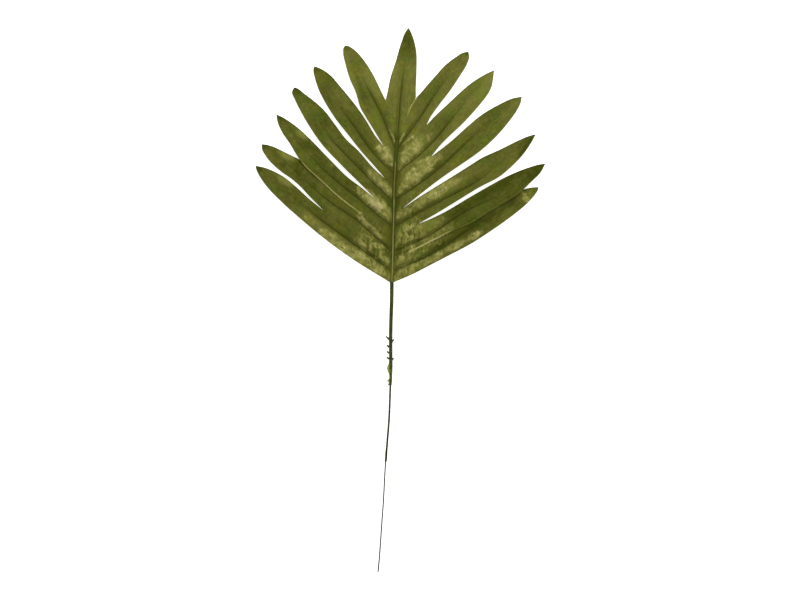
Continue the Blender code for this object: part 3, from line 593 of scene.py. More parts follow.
def lobe_grid(index, seam_rows, borders):
    """Points of a lobe's face and what its material reads there: rows run from root to tip."""
    lobe = LOBES[index]
    root = lobe_roots(index)
    sides = [border_points(*borders[index][k], seam_rows[index + k]) for k in (0, 1)]
    vein_places = (sides[0][1] + sides[1][1]) / 2
    vein = at_fractions(smooth_path([root[1]] + lobe.vein + [lobe.tip]), vein_places)
    columns = column_places()
    cut_places = [borders[index][k][2] for k in (0, 1)]
    lift = lobe.tip_height - CAD_THICKNESS + FABRIC_THICKNESS - face_height(*lobe.tip)
    shape = (LOBE_ROWS + 1, len(columns))
    grid = np.zeros(shape + (3,))
    data = {name: np.zeros(shape) for name in LOBE_VALUES}
    for column, u in enumerate(columns):
        right = int(u >= 0)
        way = 2 * right - 1
        half = way * (lobe.side or 1)
        side_points, side_places = sides[right]
        reach = abs(u)
        flat = vein + (side_points - vein) * reach
        place = vein_places + (side_places - vein_places) * reach
        cut = sum(cut_places) / 2 * (1 - reach) + cut_places[right] * reach
        distance = np.linalg.norm(flat - vein, axis=1)
        edge_distance = np.linalg.norm(flat - side_points, axis=1)
        height = face_height(flat[:, 0], flat[:, 1])
        pleat = PLEAT_DEPTH * (1 - math.sin(math.pi / 2 * reach))
        height -= pleat * ease(place, 0, PLEAT_START) * (1 - place ** 2)
        height += lift * ease(place, cut)
        if lobe.side == 0:
            height += ridge_height(reach * BAND_HALF_WIDTH) * (1 - ease(place, 0, RIDGE_RUN_OUT))
            rooted = ease(place - RIDGE_RUN_OUT, 0, RIDGE_RUN_OUT)
        else:
            rooted = ease(place, 0, CREASE_START)
        grid[:, column, :2] = flat
        grid[:, column, 2] = height + rooted * crease_height(half * distance, place)
        beside = min(max(index + way, 0), len(LOBES) - 1)
        shared = reach ** 2 * (1 - ease(place - cut, 0, TONE_BLEND)) / 2
        values = {"gloss_and_painted_sheen": patch_amount(flat[:, 0], flat[:, 1], index + right),
                  # Painted shade along the crease lines and in the folds beside them
                  "crease": crease_shade_line(half * distance, place),
                  "fold_shade": bell(distance, FOLD_SHADE_WIDTH) * fading(place),
                  "tone": lobe.tone + (LOBES[beside].tone - lobe.tone) * shared,
                  # Painted light on the rim of each side lobe's lower cut edge and the top lobe's right one,
                  # painted shade on the other rim
                  "rim": half * bell(edge_distance, RIM_WIDTH) * ease(place - cut, 0, RIM_START),
                  "glint": bell(edge_distance, GLINT_WIDTH) * edge_glint(index, u, place),
                  "across": way * distance,
                  "along": length_along(vein)}
        for name, value in values.items():
            data[name][:, column] = value
    x, y = grid[:, :, 0], grid[:, :, 1]
    data["tone"] += tone_amount(x, y, index)
    # Painted shade on the cloth beside the rib, weaker at the foot and gone at the rib's top
    near_rib = 1 - ease(np.abs(x - rib_x(y)), *RIB_SHADE_LIMITS)
    upwards = RIB_SHADE_AT_FOOT + (1 - RIB_SHADE_AT_FOOT) * ease(y, *RIB_SHADE_RISE)
    data["rib_valley_shade"] = near_rib * (1 - ease(y, *RIB_SHADE_END)) * upwards
    for *spot, strength in CRUMPLED:
        data["crumple"] = np.maximum(data["crumple"], strength * oval(x, y, spot, CRUMPLED_LIMITS))
    root_share = ease(data["along"], 0, CRINKLE_START)
    wrinkled = np.clip(data["gloss_and_painted_sheen"], 0, 1) + CRUMPLE_CRINKLE * data["crumple"] + BASE_CRINKLE
    grid[:, :, 2] += root_share * crinkles(x, y, wrinkled)
    free = ease(data["along"], 0, WAVE_START)
    grid[:, :, 2] += free * WAVE_HEIGHT * waves(x, y, WAVE_LENGTH, index * 2.3)
    grid[:, :, 2] = np.maximum(grid[:, :, 2], FABRIC_THICKNESS)
    data["lobe"] = np.full(shape, float(index))
    data["rib"] = np.zeros(shape)
    if lobe.side == 0:
        # Painted shade in the ridge's grooves and a darker ridge top, running out along the top lobe
        run_out = 1 - ease(vein_places, 0, RIDGE_RUN_OUT)
        offset = columns * BAND_HALF_WIDTH
        dark = GROOVE_PAINTED_SHADE[-1][1] * groove_shade(offset) + RIDGE_TOP_DARK * bell(offset, RIDGE_TOP_WIDTH)
        data["rib"] = -run_out[:, None] * dark[None, :]
    return grid, data


def band_grid(grids):
    """Points and material values of the band over the rib, between the roots of the side lobes."""
    last = len(grids) - 1

    def border(values):
        left = np.concatenate([values(i)[0][(1 if i else 0):] for i in range(TOP_LOBE)])
        right = np.concatenate([values(i)[0][::-1][(0 if i == last else 1):]
                                for i in range(last, TOP_LOBE, -1)])
        return left, right

    spread = (column_places() + 1) / 2
    left, right = border(lambda i: grids[i][0])
    grid = left[:, None, :] * (1 - spread)[None, :, None] + right[:, None, :] * spread[None, :, None]
    offset = (2 * spread - 1) * BAND_HALF_WIDTH
    grid[:, :, 2] += ridge_height(offset)
    grid[-1] = grids[TOP_LOBE][0][0]
    data = {}
    for name in grids[0][1]:
        left, right = border(lambda i: grids[i][1][name])
        data[name] = left[:, None] * (1 - spread)[None, :] + right[:, None] * spread[None, :]
    y = grid[:, :, 1]
    # Painted highlight on the ridge's crest, a darker ridge top, and painted shade in the grooves
    crest = np.interp(y, *np.array(RIDGE_LIGHT).T) * bell(offset, RIDGE_LIGHT_WIDTH)[None, :]
    top = RIDGE_TOP_DARK * ease(y, *RIDGE_TOP_RISE) * bell(offset, RIDGE_TOP_WIDTH)[None, :]
    data["rib"] = crest - top - np.interp(y, *np.array(GROOVE_PAINTED_SHADE).T) * groove_shade(offset)[None, :]
    beside_ridge = ease(np.abs(offset), *BESIDE_RIDGE)[None, :]
    for name in ("gloss_and_painted_sheen", "crease", "fold_shade", "crumple"):
        data[name] = data[name] * beside_ridge
    data["across"] = np.broadcast_to(offset[None, :], y.shape).copy()
    data["along"] = y.copy()
    data["lobe"] = np.full(y.shape, float(len(LOBES)))
    return grid, data


def blade_grids():
    """Grids of all the lobes, clockwise from the foot's left, and of the band between them."""
    cuts = [None] + CUT_ENDS + [None]
    borders = []
    for index, lobe in enumerate(LOBES):
        left_root, _, right_root = lobe_roots(index)
        borders.append([lobe_border(left_root, cuts[index], lobe.left, lobe.tip),
                        lobe_border(right_root, cuts[index + 1], lobe.right, lobe.tip)])
    seam_rows = [0]
    for index in range(len(CUT_ENDS)):
        share = (borders[index][1][2] + borders[index + 1][0][2]) / 2
        seam_rows.append(max(1, round(share * LOBE_ROWS)))
    seam_rows.append(0)
    lobes = [lobe_grid(index, seam_rows, borders) for index in range(len(LOBES))]
    for index in range(len(CUT_ENDS)):
        rows = seam_rows[index + 1] + 1
        first, second = lobes[index][0], lobes[index + 1][0]
        shared = (first[:rows, -1, 2] + second[:rows, 0, 2]) / 2
        first[:rows, -1, 2] = shared
        second[:rows, 0, 2] = shared
    return lobes, band_grid(lobes)


def sheet_mesh(grids):
    """One welded sheet from several grids that share border points: points, quads and corner values."""
    found = {}
    faces = []
    corners = []
    names = list(grids[0][1])
    for grid, data in grids:
        keys = np.round(grid, 3)
        ids = np.array([[found.setdefault(tuple(p), len(found)) for p in row] for row in keys])
        values = np.stack([data[name] for name in names], axis=-1)
        for r in range(grid.shape[0] - 1):
            for c in range(grid.shape[1] - 1):
                spots = [(r, c), (r, c + 1), (r + 1, c + 1), (r + 1, c)]
                face = []
                kept = []
                for spot in spots:
                    if ids[spot] not in face:
                        face.append(int(ids[spot]))
                        kept.append(values[spot])
                if len(face) > 2:
                    faces.append(face)
                    corners.append(kept)
    return np.array(list(found)), faces, names, corners


def border_edges(faces):
    """Directed edges that only one face has."""
    edges = set()
    for face in faces:
        for a, b in zip(face, face[1:] + face[:1]):
            if (b, a) in edges:
                edges.remove((b, a))
            else:
                edges.add((a, b))
    return sorted(edges)


def add_object(name, data):
    """Object of a mesh, light or camera, in the scene."""
    obj = bpy.data.objects.new(name, data)
    bpy.context.scene.collection.objects.link(obj)
    return obj


def new_object(name, points, faces):
    """Mesh object from points in millimetres."""
    mesh = bpy.data.meshes.new(name)
    mesh.from_pydata([tuple(p) for p in np.asarray(points) * MM], [], faces)
    mesh.validate()
    return add_object(name, mesh)


def shade(obj, angle=50.0):
    """Smooth shading with sharp edges above an angle in degrees."""
    obj.data.polygons.foreach_set("use_smooth", [True] * len(obj.data.polygons))
    obj.data.set_sharp_from_angle(angle=math.radians(angle))


def set_corners(obj, name, values):
    """Store a number or a vector for each corner of a mesh's faces."""
    kind, field = ("FLOAT", "value") if values.ndim == 1 else ("FLOAT_VECTOR", "vector")
    attribute = obj.data.attributes.new(name, kind, "CORNER")
    attribute.data.foreach_set(field, values.astype(np.float32).ravel())


def make_blade(grids):
    """The fabric blade: its face, its back a fabric's thickness lower, and the cut edges between them."""
    points, faces, names, corners = sheet_mesh(grids)
    count = len(points)
    backs = [[i + count for i in face[::-1]] for face in faces]
    edges = border_edges(faces)
    walls = [[b, a, a + count, b + count] for a, b in edges]
    under = points - [0, 0, FABRIC_THICKNESS]
    obj = new_object("palm_blade", np.vstack([points, under]), faces + backs + walls)
    by_point = np.zeros((count, len(names)))
    for face, kept in zip(faces, corners):
        by_point[face] = kept
    rows = [row for kept in corners for row in kept]
    rows += [row for kept in corners for row in kept[::-1]]
    rows += [by_point[i % count] for wall in walls for i in wall]
    rows = np.array(rows)
    fibre = ["across", "along", "lobe"]
    for k, name in enumerate(names):
        if name not in fibre:
            set_corners(obj, name, rows[:, k])
    set_corners(obj, "fibre", rows[:, [names.index(name) for name in fibre]])
    side = np.repeat([1.0, 0.0, 0.5], [sum(map(len, faces)), sum(map(len, backs)), sum(map(len, walls))])
    set_corners(obj, "front", side)
    shade(obj)
    return obj


def ring_faces(count, sides, closed=False):
    """Quads between each of so many rings of points and the next."""
    faces = []
    for k in range(count if closed else count - 1):
        first, second = k * sides, (k + 1) % count * sides
        for s in range(sides):
            n = (s + 1) % sides
            faces.append((first + s, first + n, second + n, second + s))
    return faces


def sweep(path, stations, sides, closed=False, swell=None):
    """Rings of a round tube along the path. A station is a path point's number and a radius."""
    path = np.array(path, float)
    tangents = np.gradient(path, axis=0)
    tangents /= np.linalg.norm(tangents, axis=1)[:, None]
    across = np.cross(tangents, [0, 0, 1])
    across /= np.linalg.norm(across, axis=1)[:, None]
    up = np.cross(across, tangents)
    angles = np.arange(sides) * 2 * math.pi / sides
    rim = np.ones(sides) if swell is None else swell(angles)
    rings = []
    for i, radius in stations:
        offsets = np.cos(angles)[:, None] * across[i] + np.sin(angles)[:, None] * up[i]
        rings.append(path[i] + (radius * rim)[:, None] * offsets)
    faces = ring_faces(len(rings), sides, closed)
    if not closed:
        faces.append(tuple(range(sides))[::-1])
        faces.append(tuple((len(rings) - 1) * sides + s for s in range(sides)))
    return np.vstack(rings), faces


def turn_outwards(obj):
    """Turn a closed mesh's faces outwards."""
    work = bmesh.new()
    work.from_mesh(obj.data)
    bmesh.ops.recalc_face_normals(work, faces=work.faces)
    work.to_mesh(obj.data)
    work.free()


def solid_piece(name, points, faces, angle):
    """Smoothly shaded object from a closed skin's points and faces."""
    obj = new_object(name, points, faces)
    turn_outwards(obj)
    shade(obj, angle)
    return obj


def smooth_tube(points, radii, steps=6):
    """Finer path and radii through a tube's points."""
    rows = smooth_path([(*p, r) for p, r in zip(points, radii)], steps)
    return rows[:, :3], rows[:, 3]


def stem_path():
    """Centre line of the stem from the rib's upper end down to the moulding's lower end, with radii."""
    path, radii = [], []
    rib_heights = [RIB_END_Y] + [y for y in sorted(VEIN_ROOTS + SEAM_ROOTS, reverse=True) if y < RIB_END_Y]
    for y in rib_heights:
        share = (y - SEAM_ROOTS[-1]) / (RIB_END_Y - SEAM_ROOTS[-1])
        radii.append(STEM_TOP_RADIUS + (RIB_TOP_RADIUS - STEM_TOP_RADIUS) * share)
        under = float(rib_height(y)) + RIDGE_PROFILE[0][1] - FABRIC_THICKNESS
        path.append((float(rib_x(y)), y, under - SEAT_GAP - radii[-1]))
    for k, (x, y) in enumerate(STEM_LINE):
        share = k / (len(STEM_LINE) - 1)
        radii.append(STEM_TOP_RADIUS + (STEM_LOW_RADIUS - STEM_TOP_RADIUS) * share)
        path.append((x, y, radii[-1] + STEM_REST_GAP))
    for (x, y), radius in zip(STEM_END_LINE, STEM_END_RADII):
        radii.append(radius)
        path.append((x, y, STEM_END_AXIS_HEIGHT))
    return smooth_tube(path, radii)


def parting_line(angles):
    """Radius factor of a moulding with a fine parting line along both sides."""
    from_side = np.minimum(np.abs(np.sin(angles)), 1.0)
    return 1 + PARTING_LINE_HEIGHT * bell(from_side, 0.12)


def side_rib(lobe, grid):
    """Path and radii of the thin rib under a lobe's crease, from inside the main rib outwards."""
    middle = grid[::SIDE_RIB_STEP, len(HALF_COLUMNS) - 1]
    length = length_along(middle)
    shares = length / length[-1]
    kept = shares <= SIDE_RIB_SHARE
    taper = SIDE_RIB_END_RADIUS - SIDE_RIB_ROOT_RADIUS
    radii = SIDE_RIB_ROOT_RADIUS + taper * shares[kept] / SIDE_RIB_SHARE
    path = middle[kept].copy()
    radii = np.minimum(radii, (path[:, 2] - FABRIC_THICKNESS - SEAT_GAP) / 2)
    path[:, 2] -= FABRIC_THICKNESS + SEAT_GAP + radii
    inner = path[0].copy()
    if lobe.side:
        inner[0] -= lobe.side * SIDE_RIB_START_IN
        inner[2] -= SIDE_RIB_START_DROP
    else:
        path = path[2:]
        radii = radii[2:]
        inner = path[0] - [0, TOP_RIB_START_IN, TOP_RIB_START_DROP]
    return np.vstack([inner, path]), [radii[0]] + list(radii)


def join_solids(base, details):
    """Join closed pieces to an object into one closed skin."""
    collection = bpy.data.collections.new("details")
    bpy.context.scene.collection.children.link(collection)
    for piece in details:
        bpy.context.scene.collection.objects.unlink(piece)
        collection.objects.link(piece)
        turn_outwards(piece)
    turn_outwards(base)
    boolean = base.modifiers.new("union", "BOOLEAN")
    boolean.operation = "UNION"
    boolean.operand_type = "COLLECTION"
    boolean.collection = collection
    boolean.solver = "EXACT"
    evaluated = base.evaluated_get(bpy.context.evaluated_depsgraph_get())
    base.data = bpy.data.meshes.new_from_object(evaluated)
    base.modifiers.clear()
    for piece in list(collection.objects):
        bpy.data.objects.remove(piece)
    bpy.data.collections.remove(collection)


def make_stem(lobe_grids):
    """The stem moulding with its rib, side ribs and spurs, and the bore that the wire runs up."""
    path, radii = stem_path()
    bore = [i for i in range(len(path)) if path[i][1] <= BORE_TOP_Y]
    stations = list(enumerate(radii)) + [(i, BORE_RADIUS) for i in reversed(bore)]
    stem = new_object("palm_stem", *sweep(path, stations, STEM_SIDES, swell=parting_line))
    details = []
    for lobe, (grid, _) in zip(LOBES, lobe_grids):
        rib_path, rib_radii = side_rib(lobe, grid)
        details.append(new_object("side_rib", *sweep(rib_path, list(enumerate(rib_radii)), SIDE_RIB_SIDES)))
    for root, tip in SPURS:
        root = np.array(root)
        tip = np.array(tip)
        direction = (tip - root) / np.linalg.norm(tip - root)
        start = root + direction * SPUR_START
        shares = np.linspace(0, 1, 5)
        spur_path = [(*(start + (tip - start) * s), STEM_LOW_RADIUS + SPUR_LIFT * s * s) for s in shares]
        spur_radii = SPUR_ROOT_RADIUS + (SPUR_TIP_RADIUS - SPUR_ROOT_RADIUS) * shares ** SPUR_TAPER_POWER
        details.append(new_object("spur", *sweep(spur_path, list(enumerate(spur_radii)), SPUR_SIDES)))
    join_solids(stem, details)
    shade(stem, 40)
    return stem


def make_flash():
    """The two thin scraps of mould flash on the stem's left side, thinner towards their edges."""
    points, faces = [], []
    for number, outline in enumerate(FLASH_SCRAPS):
        centre = np.mean(outline, axis=0)
        edge = smooth_path(outline, 8)
        tops, bottoms = [], []
        for share in (0.25, 0.5, 0.75, 1.0):
            flat = centre + (edge - centre) * share
            half = FLASH_THICKNESS * (1 - (1 - FLASH_EDGE_SHARE) * share ** 2) / 2
            rise = FLASH_WAVE_HEIGHT * waves(*flat.T, FLASH_WAVE_LENGTH, number + 5.0)
            middle = STEM_LOW_RADIUS + rise
            tops.append(np.column_stack([flat, middle + half]))
            bottoms.insert(0, np.column_stack([flat, middle - half]))
        rings = tops + bottoms
        base = len(points)
        size = len(edge)
        points += [point for ring in rings for point in ring]
        points += [(*centre, STEM_LOW_RADIUS + side * FLASH_THICKNESS / 2) for side in (1, -1)]
        faces += [[base + i for i in face] for face in ring_faces(len(rings), size)]
        last = base + (len(rings) - 1) * size
        for k in range(size):
            n = (k + 1) % size
            faces += [[base + k, base + n, last + size], [last + k, last + n, last + size + 1]]
    return solid_piece("mould_flash", points, faces, 60)


def coat_points():
    """Centre line of the wire's coat, sloping gently down to its bead."""
    ys = np.array([y for _, y in COAT_LINE])
    heights = np.interp(-ys, [-STEM_END_LINE[-1][1], -ys[-1]], [STEM_END_AXIS_HEIGHT, COAT_END_AXIS_HEIGHT])
    return [(x, y, float(z)) for (x, y), z in zip(COAT_LINE, heights)]


def make_coat():
    """Plastic coat of the wire: an uneven skin that swells into a bead at its lower end."""
    path = smooth_path(coat_points(), 8)
    y = path[:, 1]
    bead_start, bead_end = COAT_LINE[-4][1], COAT_LINE[-1][1]
    rounding = BEAD_ROUNDING * ease(y, bead_end + BEAD_ROUNDED_LENGTH, bead_end)
    swelling = ease(bead_start - y, 0, BEAD_RISE) * (1 - rounding)
    uneven = COAT_UNEVENNESS * np.array([noise.noise(Vector((0.0, v / COAT_UNEVEN_LENGTH, 1.0))) for v in y])
    radii = COAT_RADIUS + (BEAD_RADIUS - COAT_RADIUS) * swelling + uneven * ease(y, *COAT_UNEVEN_START)
    last = len(path) - 1
    stations = list(enumerate(radii)) + [(i, COAT_BORE_RADIUS) for i in range(last, -1, -1)]
    return solid_piece("wire_coat_skin", *sweep(path, stations, COAT_SIDES, closed=True), 45)


def make_wire():
    """Steel wire from inside the coat's upper end to its cut lower end, which lies on the surface."""
    coat = coat_points()
    start = np.array(coat[0]) + np.array([0, -WIRE_INSET, 0])
    ys = [y for _, y in WIRE_LINE]
    heights = np.interp([-y for y in ys], [-coat[-1][1], -ys[-1]], [COAT_END_AXIS_HEIGHT, WIRE_RADIUS])
    bare = [(x, y, float(z)) for (x, y), z in zip(WIRE_LINE, heights)]
    path = smooth_path([tuple(start)] + coat[1:] + bare, 8)
    radii = np.full(len(path), WIRE_RADIUS)
    radii[-1] = WIRE_RADIUS * WIRE_TIP_SHARE
    path[-2] = path[-1] + (path[-2] - path[-1]) * WIRE_TIP_STEP
    return solid_piece("steel_wire", *sweep(path, list(enumerate(radii)), WIRE_SIDES), 35)


class Nodes:
    """Builds a material's or world's node tree."""

    def __init__(self, owner):
        owner.use_nodes = True
        self.tree = owner.node_tree
        self.tree.nodes.clear()

    def add(self, kind, inputs=None, **settings):
        """Node with settings, and inputs that are values or other nodes' sockets."""
        node = self.tree.nodes.new("ShaderNode" + kind)
        for name, value in settings.items():
            setattr(node, name, value)
        for key, value in (inputs or {}).items():
            self.put(node.inputs[key], value)
        return node

    def put(self, socket, value):
        """Set a socket to a value or to a colour's red, green and blue, or link it to another socket."""
        if isinstance(value, bpy.types.NodeSocket):
            self.tree.links.new(value, socket)
        else:
            socket.default_value = (*value, 1.0) if socket.type == "RGBA" else value

    def attribute(self, name, output="Fac"):
        """Value of a named attribute of the mesh."""
        return self.add("Attribute", attribute_name=name).outputs[output]

    def maths(self, operation, a, b=0.0, clamp=False):
        """Result of a Math node."""
        return self.add("Math", {0: a, 1: b}, operation=operation, use_clamp=clamp).outputs[0]

    def plus(self, a, b, clamp=False):
        """Sum of two values."""
        return self.maths("ADD", a, b, clamp)

    def times(self, a, b):
        """Product of two values."""
        return self.maths("MULTIPLY", a, b)

    def scaled(self, vector, factors):
        """Vector multiplied by three factors."""
        return self.add("VectorMath", {0: vector, 1: factors}, operation="MULTIPLY").outputs[0]

    def noise(self, vector, scale, detail=3.0, roughness=0.5, distortion=0.0):
        """Noise between about 0 and 1."""
        inputs = {"Vector": vector, "Scale": scale, "Detail": detail, "Roughness": roughness,
                  "Distortion": distortion}
        return self.add("TexNoise", inputs).outputs["Fac"]

    def spread(self, value, low, high, start=0.0, end=1.0):
        """Value's range from low to high brought smoothly to start to end."""
        inputs = {"Value": value, "From Min": low, "From Max": high, "To Min": start, "To Max": end}
        return self.add("MapRange", inputs, interpolation_type="SMOOTHSTEP").outputs["Result"]

    def mix(self, factor, a, b, blend="MIX"):
        """Mix of two colours."""
        node = self.add("Mix", data_type="RGBA", blend_type=blend)
        self.put(node.inputs[0], factor)
        self.put(node.inputs[6], a)
        self.put(node.inputs[7], b)
        return node.outputs[2]

    def bump(self, height, strength, distance, normal=None):
        """Normal of a bumped surface. The distance is in metres."""
        inputs = {"Height": height, "Strength": strength, "Distance": distance}
        if normal:
            inputs["Normal"] = normal
        return self.add("Bump", inputs).outputs["Normal"]

    def finish(self, **values):
        """Principled shader with these inputs, on the output."""
        shader = self.add("BsdfPrincipled")
        for name, value in values.items():
            self.put(shader.inputs[name.replace("_", " ")], value)
        output = self.add("OutputMaterial")
        self.tree.links.new(shader.outputs[0], output.inputs["Surface"])


def new_material(name):
    """Material, its nodes and its texture coordinates."""
    material = bpy.data.materials.new(name)
    nodes = Nodes(material)
    return material, nodes, nodes.add("TexCoord").outputs["Object"]


def fabric_material():
    """Coated, pressed leaf fabric: olive green with streaks, glossy places with painted sheen and highlights,
    painted shade in the creases, and painted light and shade on its wrinkles, rib and cut edges.
    """
    material, nodes, place = new_material("leaf_fabric")
    fibre = nodes.attribute("fibre", "Vector")
    gloss_and_painted_sheen, front, crumple, tone = [nodes.attribute(n) for n in ("gloss_and_painted_sheen", "front", "crumple", "tone")]
    streaks = nodes.noise(nodes.scaled(fibre, (0.9, 0.035, 3.7)), 1.0, 4.0, 0.6)
    clouds = nodes.noise(place, 45.0, 3.0, 0.55)
    mottle = nodes.noise(place, 300.0, 3.0, 0.6, 0.8)
    lightness = nodes.plus(tone, 0.3)
    for pattern, amount in ((streaks, 0.55), (clouds, 0.7), (mottle, 0.7)):
        lightness = nodes.plus(lightness, nodes.times(nodes.plus(pattern, -0.5), amount))
    colour = nodes.mix(lightness, DEEP_OLIVE, PALE_OLIVE)
    for scale, amount, tint in HUE_CLOUDS:
        cloud = nodes.spread(nodes.noise(place, scale, 2.0, 0.5, 0.5), 0.5, 0.68, 0.0, amount)
        colour = nodes.mix(cloud, colour, tint, "MULTIPLY")
    # Painted sheen and painted highlights on the glossy places, which also get a lower roughness
    border = nodes.times(nodes.plus(nodes.noise(place, 150.0, 3.0, 0.6, 0.8), -0.5), 1.1)
    gloss_and_sheen_mask = nodes.spread(nodes.plus(gloss_and_painted_sheen, border), 0.06, 0.92)
    gloss_and_sheen_mask = nodes.times(gloss_and_sheen_mask, nodes.spread(front, 0.0, 1.0, 0.25, 1.0))
    strokes = nodes.noise(nodes.scaled(fibre, (0.2, 0.09, 1.7)), 1.0, 2.0, 0.5, 1.0)
    blots = nodes.noise(place, 150.0, 2.0, 0.5, 1.0)
    stretched = nodes.scaled(place, (1.0, 0.5, 1.0))
    fine = nodes.noise(stretched, 520.0, 3.0, 0.55, 0.8)
    folds = nodes.plus(nodes.times(nodes.plus(strokes, blots), 0.3), nodes.times(fine, 0.4))
    sheen = nodes.times(gloss_and_sheen_mask, nodes.spread(folds, 0.4, 0.58, 0.5, 1.0))
    colour = nodes.mix(nodes.times(sheen, 0.92), colour, PAINTED_SHEEN_CLOTH)
    paler = nodes.times(nodes.plus(gloss_and_painted_sheen, -1.0, clamp=True), 0.3)
    painted_highlight = nodes.times(gloss_and_sheen_mask, nodes.spread(nodes.plus(folds, paler), 0.5, 0.66, 0.0, 0.6))
    colour = nodes.mix(painted_highlight, colour, PAINTED_HIGHLIGHT_CLOTH)
    # Painted light and painted shade on the crumpled cloth's wrinkles
    wrinkles = nodes.noise(stretched, 240.0, 2.0, 0.5, 1.2)
    lit = nodes.times(crumple, nodes.spread(wrinkles, 0.5, 0.62, 0.0, 0.75))
    colour = nodes.mix(lit, colour, LIT_WRINKLE)
    shaded = nodes.times(crumple, nodes.spread(wrinkles, 0.36, 0.5, 0.5, 0.0))
    colour = nodes.mix(shaded, colour, SHADED_WRINKLE)
    for name, amount, tint in LINE_TINTS:
        colour = nodes.mix(nodes.times(nodes.attribute(name), amount), colour, tint)
    colour = nodes.mix(nodes.spread(front, 0.0, 1.0, 0.35, 0.0), colour, CLOTH_BACK)
    worn = nodes.plus(gloss_and_sheen_mask, nodes.times(mottle, 0.3))
    roughness = nodes.spread(worn, 0.0, 1.2, 0.64, 0.42)
    normal = nodes.bump(folds, 0.4, 0.0012)
    normal = nodes.bump(nodes.noise(place, 520.0, distortion=1.2), 0.5, 0.0003, normal)
    normal = nodes.bump(streaks, 0.35, 0.0003, normal)
    threads = nodes.scaled(fibre, (2.4, 2.4, 0.0))
    weave = nodes.add("TexMagic", {"Vector": threads, "Scale": 1.0, "Distortion": 1.0}, turbulence_depth=0)
    normal = nodes.bump(weave.outputs["Fac"], 0.12, 0.00008, normal)
    nodes.finish(Base_Color=colour, Roughness=roughness, Normal=normal, IOR=1.45,
                 Specular_IOR_Level=0.22, Specular_Tint=(1.0, 0.9, 0.35))
    return material


def plastic_material(name, dark, light, scale, roughness, pale=None):
    """Moulded or extruded plastic with a mottled skin, painted shade where it faces sideways, and a paler
    lower end if pale has its colour.
    """
    material, nodes, place = new_material(name)
    streaks = nodes.noise(nodes.scaled(place, (1.0, 0.12, 1.0)), scale * 2.2, 4.0, 0.6)
    mottle = nodes.plus(nodes.noise(place, scale, 4.0, 0.6), nodes.plus(streaks, -0.5))
    lightness = nodes.spread(mottle, 0.3, 0.75)
    colour = nodes.mix(lightness, dark, light)
    if pale:
        height = nodes.add("SeparateXYZ", {0: place}).outputs["Y"]
        low = nodes.spread(nodes.times(height, -1.0), 0.058, 0.068, 0.0, 0.7)
        colour = nodes.mix(nodes.times(low, lightness), colour, pale)
    # Painted shade: darker where the surface faces sideways
    facing_up = nodes.add("SeparateXYZ", {0: nodes.add("NewGeometry").outputs["Normal"]}).outputs["Z"]
    painted_side_shade = nodes.spread(nodes.maths("ABSOLUTE", facing_up), 0.15, 0.75, 0.75, 0.0)
    colour = nodes.mix(painted_side_shade, colour, [0.45 * value for value in dark])
    rough = nodes.spread(streaks, 0.3, 0.7, roughness - 0.08, roughness + 0.1)
    nodes.finish(Base_Color=colour, Roughness=rough, Normal=nodes.bump(streaks, 0.4, 0.0002), IOR=1.35,
                 Specular_IOR_Level=0.08, Specular_Tint=(1.0, 0.95, 0.5))
    return material


def flash_material():
    """Thin, see-through green plastic."""
    material, nodes, place = new_material("flash_plastic")
    clouds = nodes.noise(place, 500.0, 3.0, 0.6)
    colour = nodes.mix(nodes.spread(clouds, 0.3, 0.7), (0.27, 0.3, 0.09), (0.56, 0.58, 0.3))
    rough = nodes.spread(clouds, 0.3, 0.7, 0.3, 0.45)
    nodes.finish(Base_Color=colour, Roughness=rough, Normal=nodes.bump(clouds, 0.5, 0.0002),
                 Subsurface_Weight=0.4, Subsurface_Radius=(0.001, 0.001, 0.0005), IOR=1.47)
    return material


def steel_material():
    """Dull drawn steel wire with fine lengthwise scratches and a little rust brown."""
    material, nodes, place = new_material("wire_steel")
    scratches = nodes.noise(nodes.scaled(place, (1.0, 0.05, 1.0)), 3500.0, 4.0, 0.6)
    clouds = nodes.noise(place, 260.0, 4.0, 0.6)
    colour = nodes.mix(nodes.spread(scratches, 0.3, 0.7), (0.032, 0.024, 0.011), (0.08, 0.062, 0.036))
    colour = nodes.mix(nodes.spread(clouds, 0.5, 0.75, 0.0, 0.5), colour, (0.1, 0.07, 0.035))
    rough = nodes.spread(clouds, 0.3, 0.7, 0.45, 0.6)
    nodes.finish(Base_Color=colour, Roughness=rough, Normal=nodes.bump(scratches, 0.3, 0.00005),
                 Metallic=0.5, IOR=1.35, Specular_Tint=(0.5, 0.42, 0.3), Specular_IOR_Level=0.1)
    return material


def floor_material():
    """Pale floor, lit so brightly that it comes out white."""
    material, nodes, place = new_material("pale_floor")
    grain = nodes.noise(place, 900.0)
    colour = nodes.mix(grain, (0.78, 0.78, 0.78), (0.84, 0.84, 0.84))
    nodes.finish(Base_Color=colour, Roughness=0.7, Emission_Color=(1, 1, 1), Emission_Strength=0.91,
                 Specular_IOR_Level=0.1)
    return material


def make_floor():
    """Plain floor under the leaf."""
    half = FLOOR_SIZE / 2 / MM
    corners = [(-half, -half, 0), (half, -half, 0), (half, half, 0), (-half, half, 0)]
    floor = new_object("floor", corners, [(0, 1, 2, 3)])
    floor.location.z = -FLOOR_DROP
    floor.data.materials.append(floor_material())


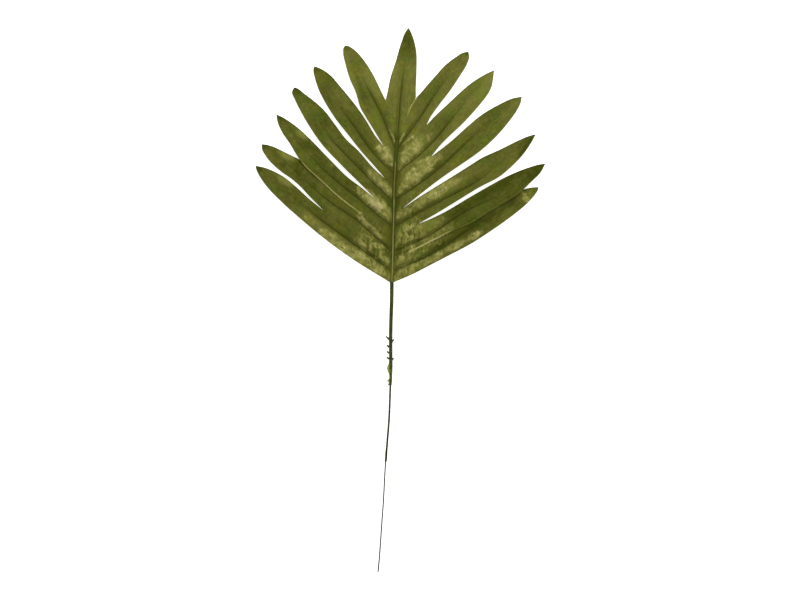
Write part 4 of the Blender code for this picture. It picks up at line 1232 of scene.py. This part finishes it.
def make_camera():
    """Long lens looking straight down on the leaf."""
    data = bpy.data.cameras.new("camera")
    data.sensor_width = SENSOR_WIDTH
    data.lens = SENSOR_WIDTH * CAMERA_HEIGHT / VIEW_WIDTH
    data.clip_end = 100.0
    camera = add_object("camera", data)
    camera.location = (*VIEW_CENTRE, CAMERA_HEIGHT)
    bpy.context.scene.camera = camera


def make_lights():
    """Soft boxes round the leaf, and a pale surround that darkens towards the camera."""
    for light in LIGHTS:
        data = bpy.data.lights.new(light.name, "AREA")
        data.shape = "RECTANGLE"
        data.size, data.size_y = light.size
        data.energy = light.power
        obj = add_object(light.name, data)
        obj.location = light.place
        direction = Vector(LIGHT_TARGET) - Vector(light.place)
        obj.rotation_euler = direction.to_track_quat("-Z", "Y").to_euler()
    world = bpy.data.worlds.new("surround")
    bpy.context.scene.world = world
    nodes = Nodes(world)
    direction = nodes.add("TexCoord").outputs["Generated"]
    height = nodes.add("SeparateXYZ", {0: direction}).outputs["Z"]
    strength = nodes.spread(height, *SURROUND_HEIGHTS, *SURROUND_STRENGTHS)
    background = nodes.add("Background", {"Color": (1, 1, 1), "Strength": strength})
    output = nodes.add("OutputWorld")
    nodes.tree.links.new(background.outputs[0], output.inputs["Surface"])
    bpy.context.scene.view_settings.view_transform = "Standard"


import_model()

lobe_grids, band = blade_grids()
plastic = plastic_material("stem_plastic", (0.028, 0.035, 0.009), (0.076, 0.09, 0.022), 300.0, 0.52,
                           pale=(0.12, 0.14, 0.02))
coating = plastic_material("coat_plastic", (0.018, 0.024, 0.006), (0.045, 0.054, 0.018), 260.0, 0.6)
pieces = [
    (make_blade(lobe_grids + [band]), "leaf_blade", "leaf_fabric", fabric_material()),
    (make_stem(lobe_grids), "moulded_stem", "stem_plastic", plastic),
    (make_flash(), None, "stem_plastic", flash_material()),
    (make_coat(), "wire_coat", "coat_plastic", coating),
    (make_wire(), "wire", "wire_steel", steel_material()),
]
for piece, node_name, slot, material in pieces:
    piece.data.materials.clear()
    piece.data.materials.append(material)
    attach(piece, "root")
    if node_name:
        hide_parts(node_name)

make_floor()
make_camera()
make_lights()
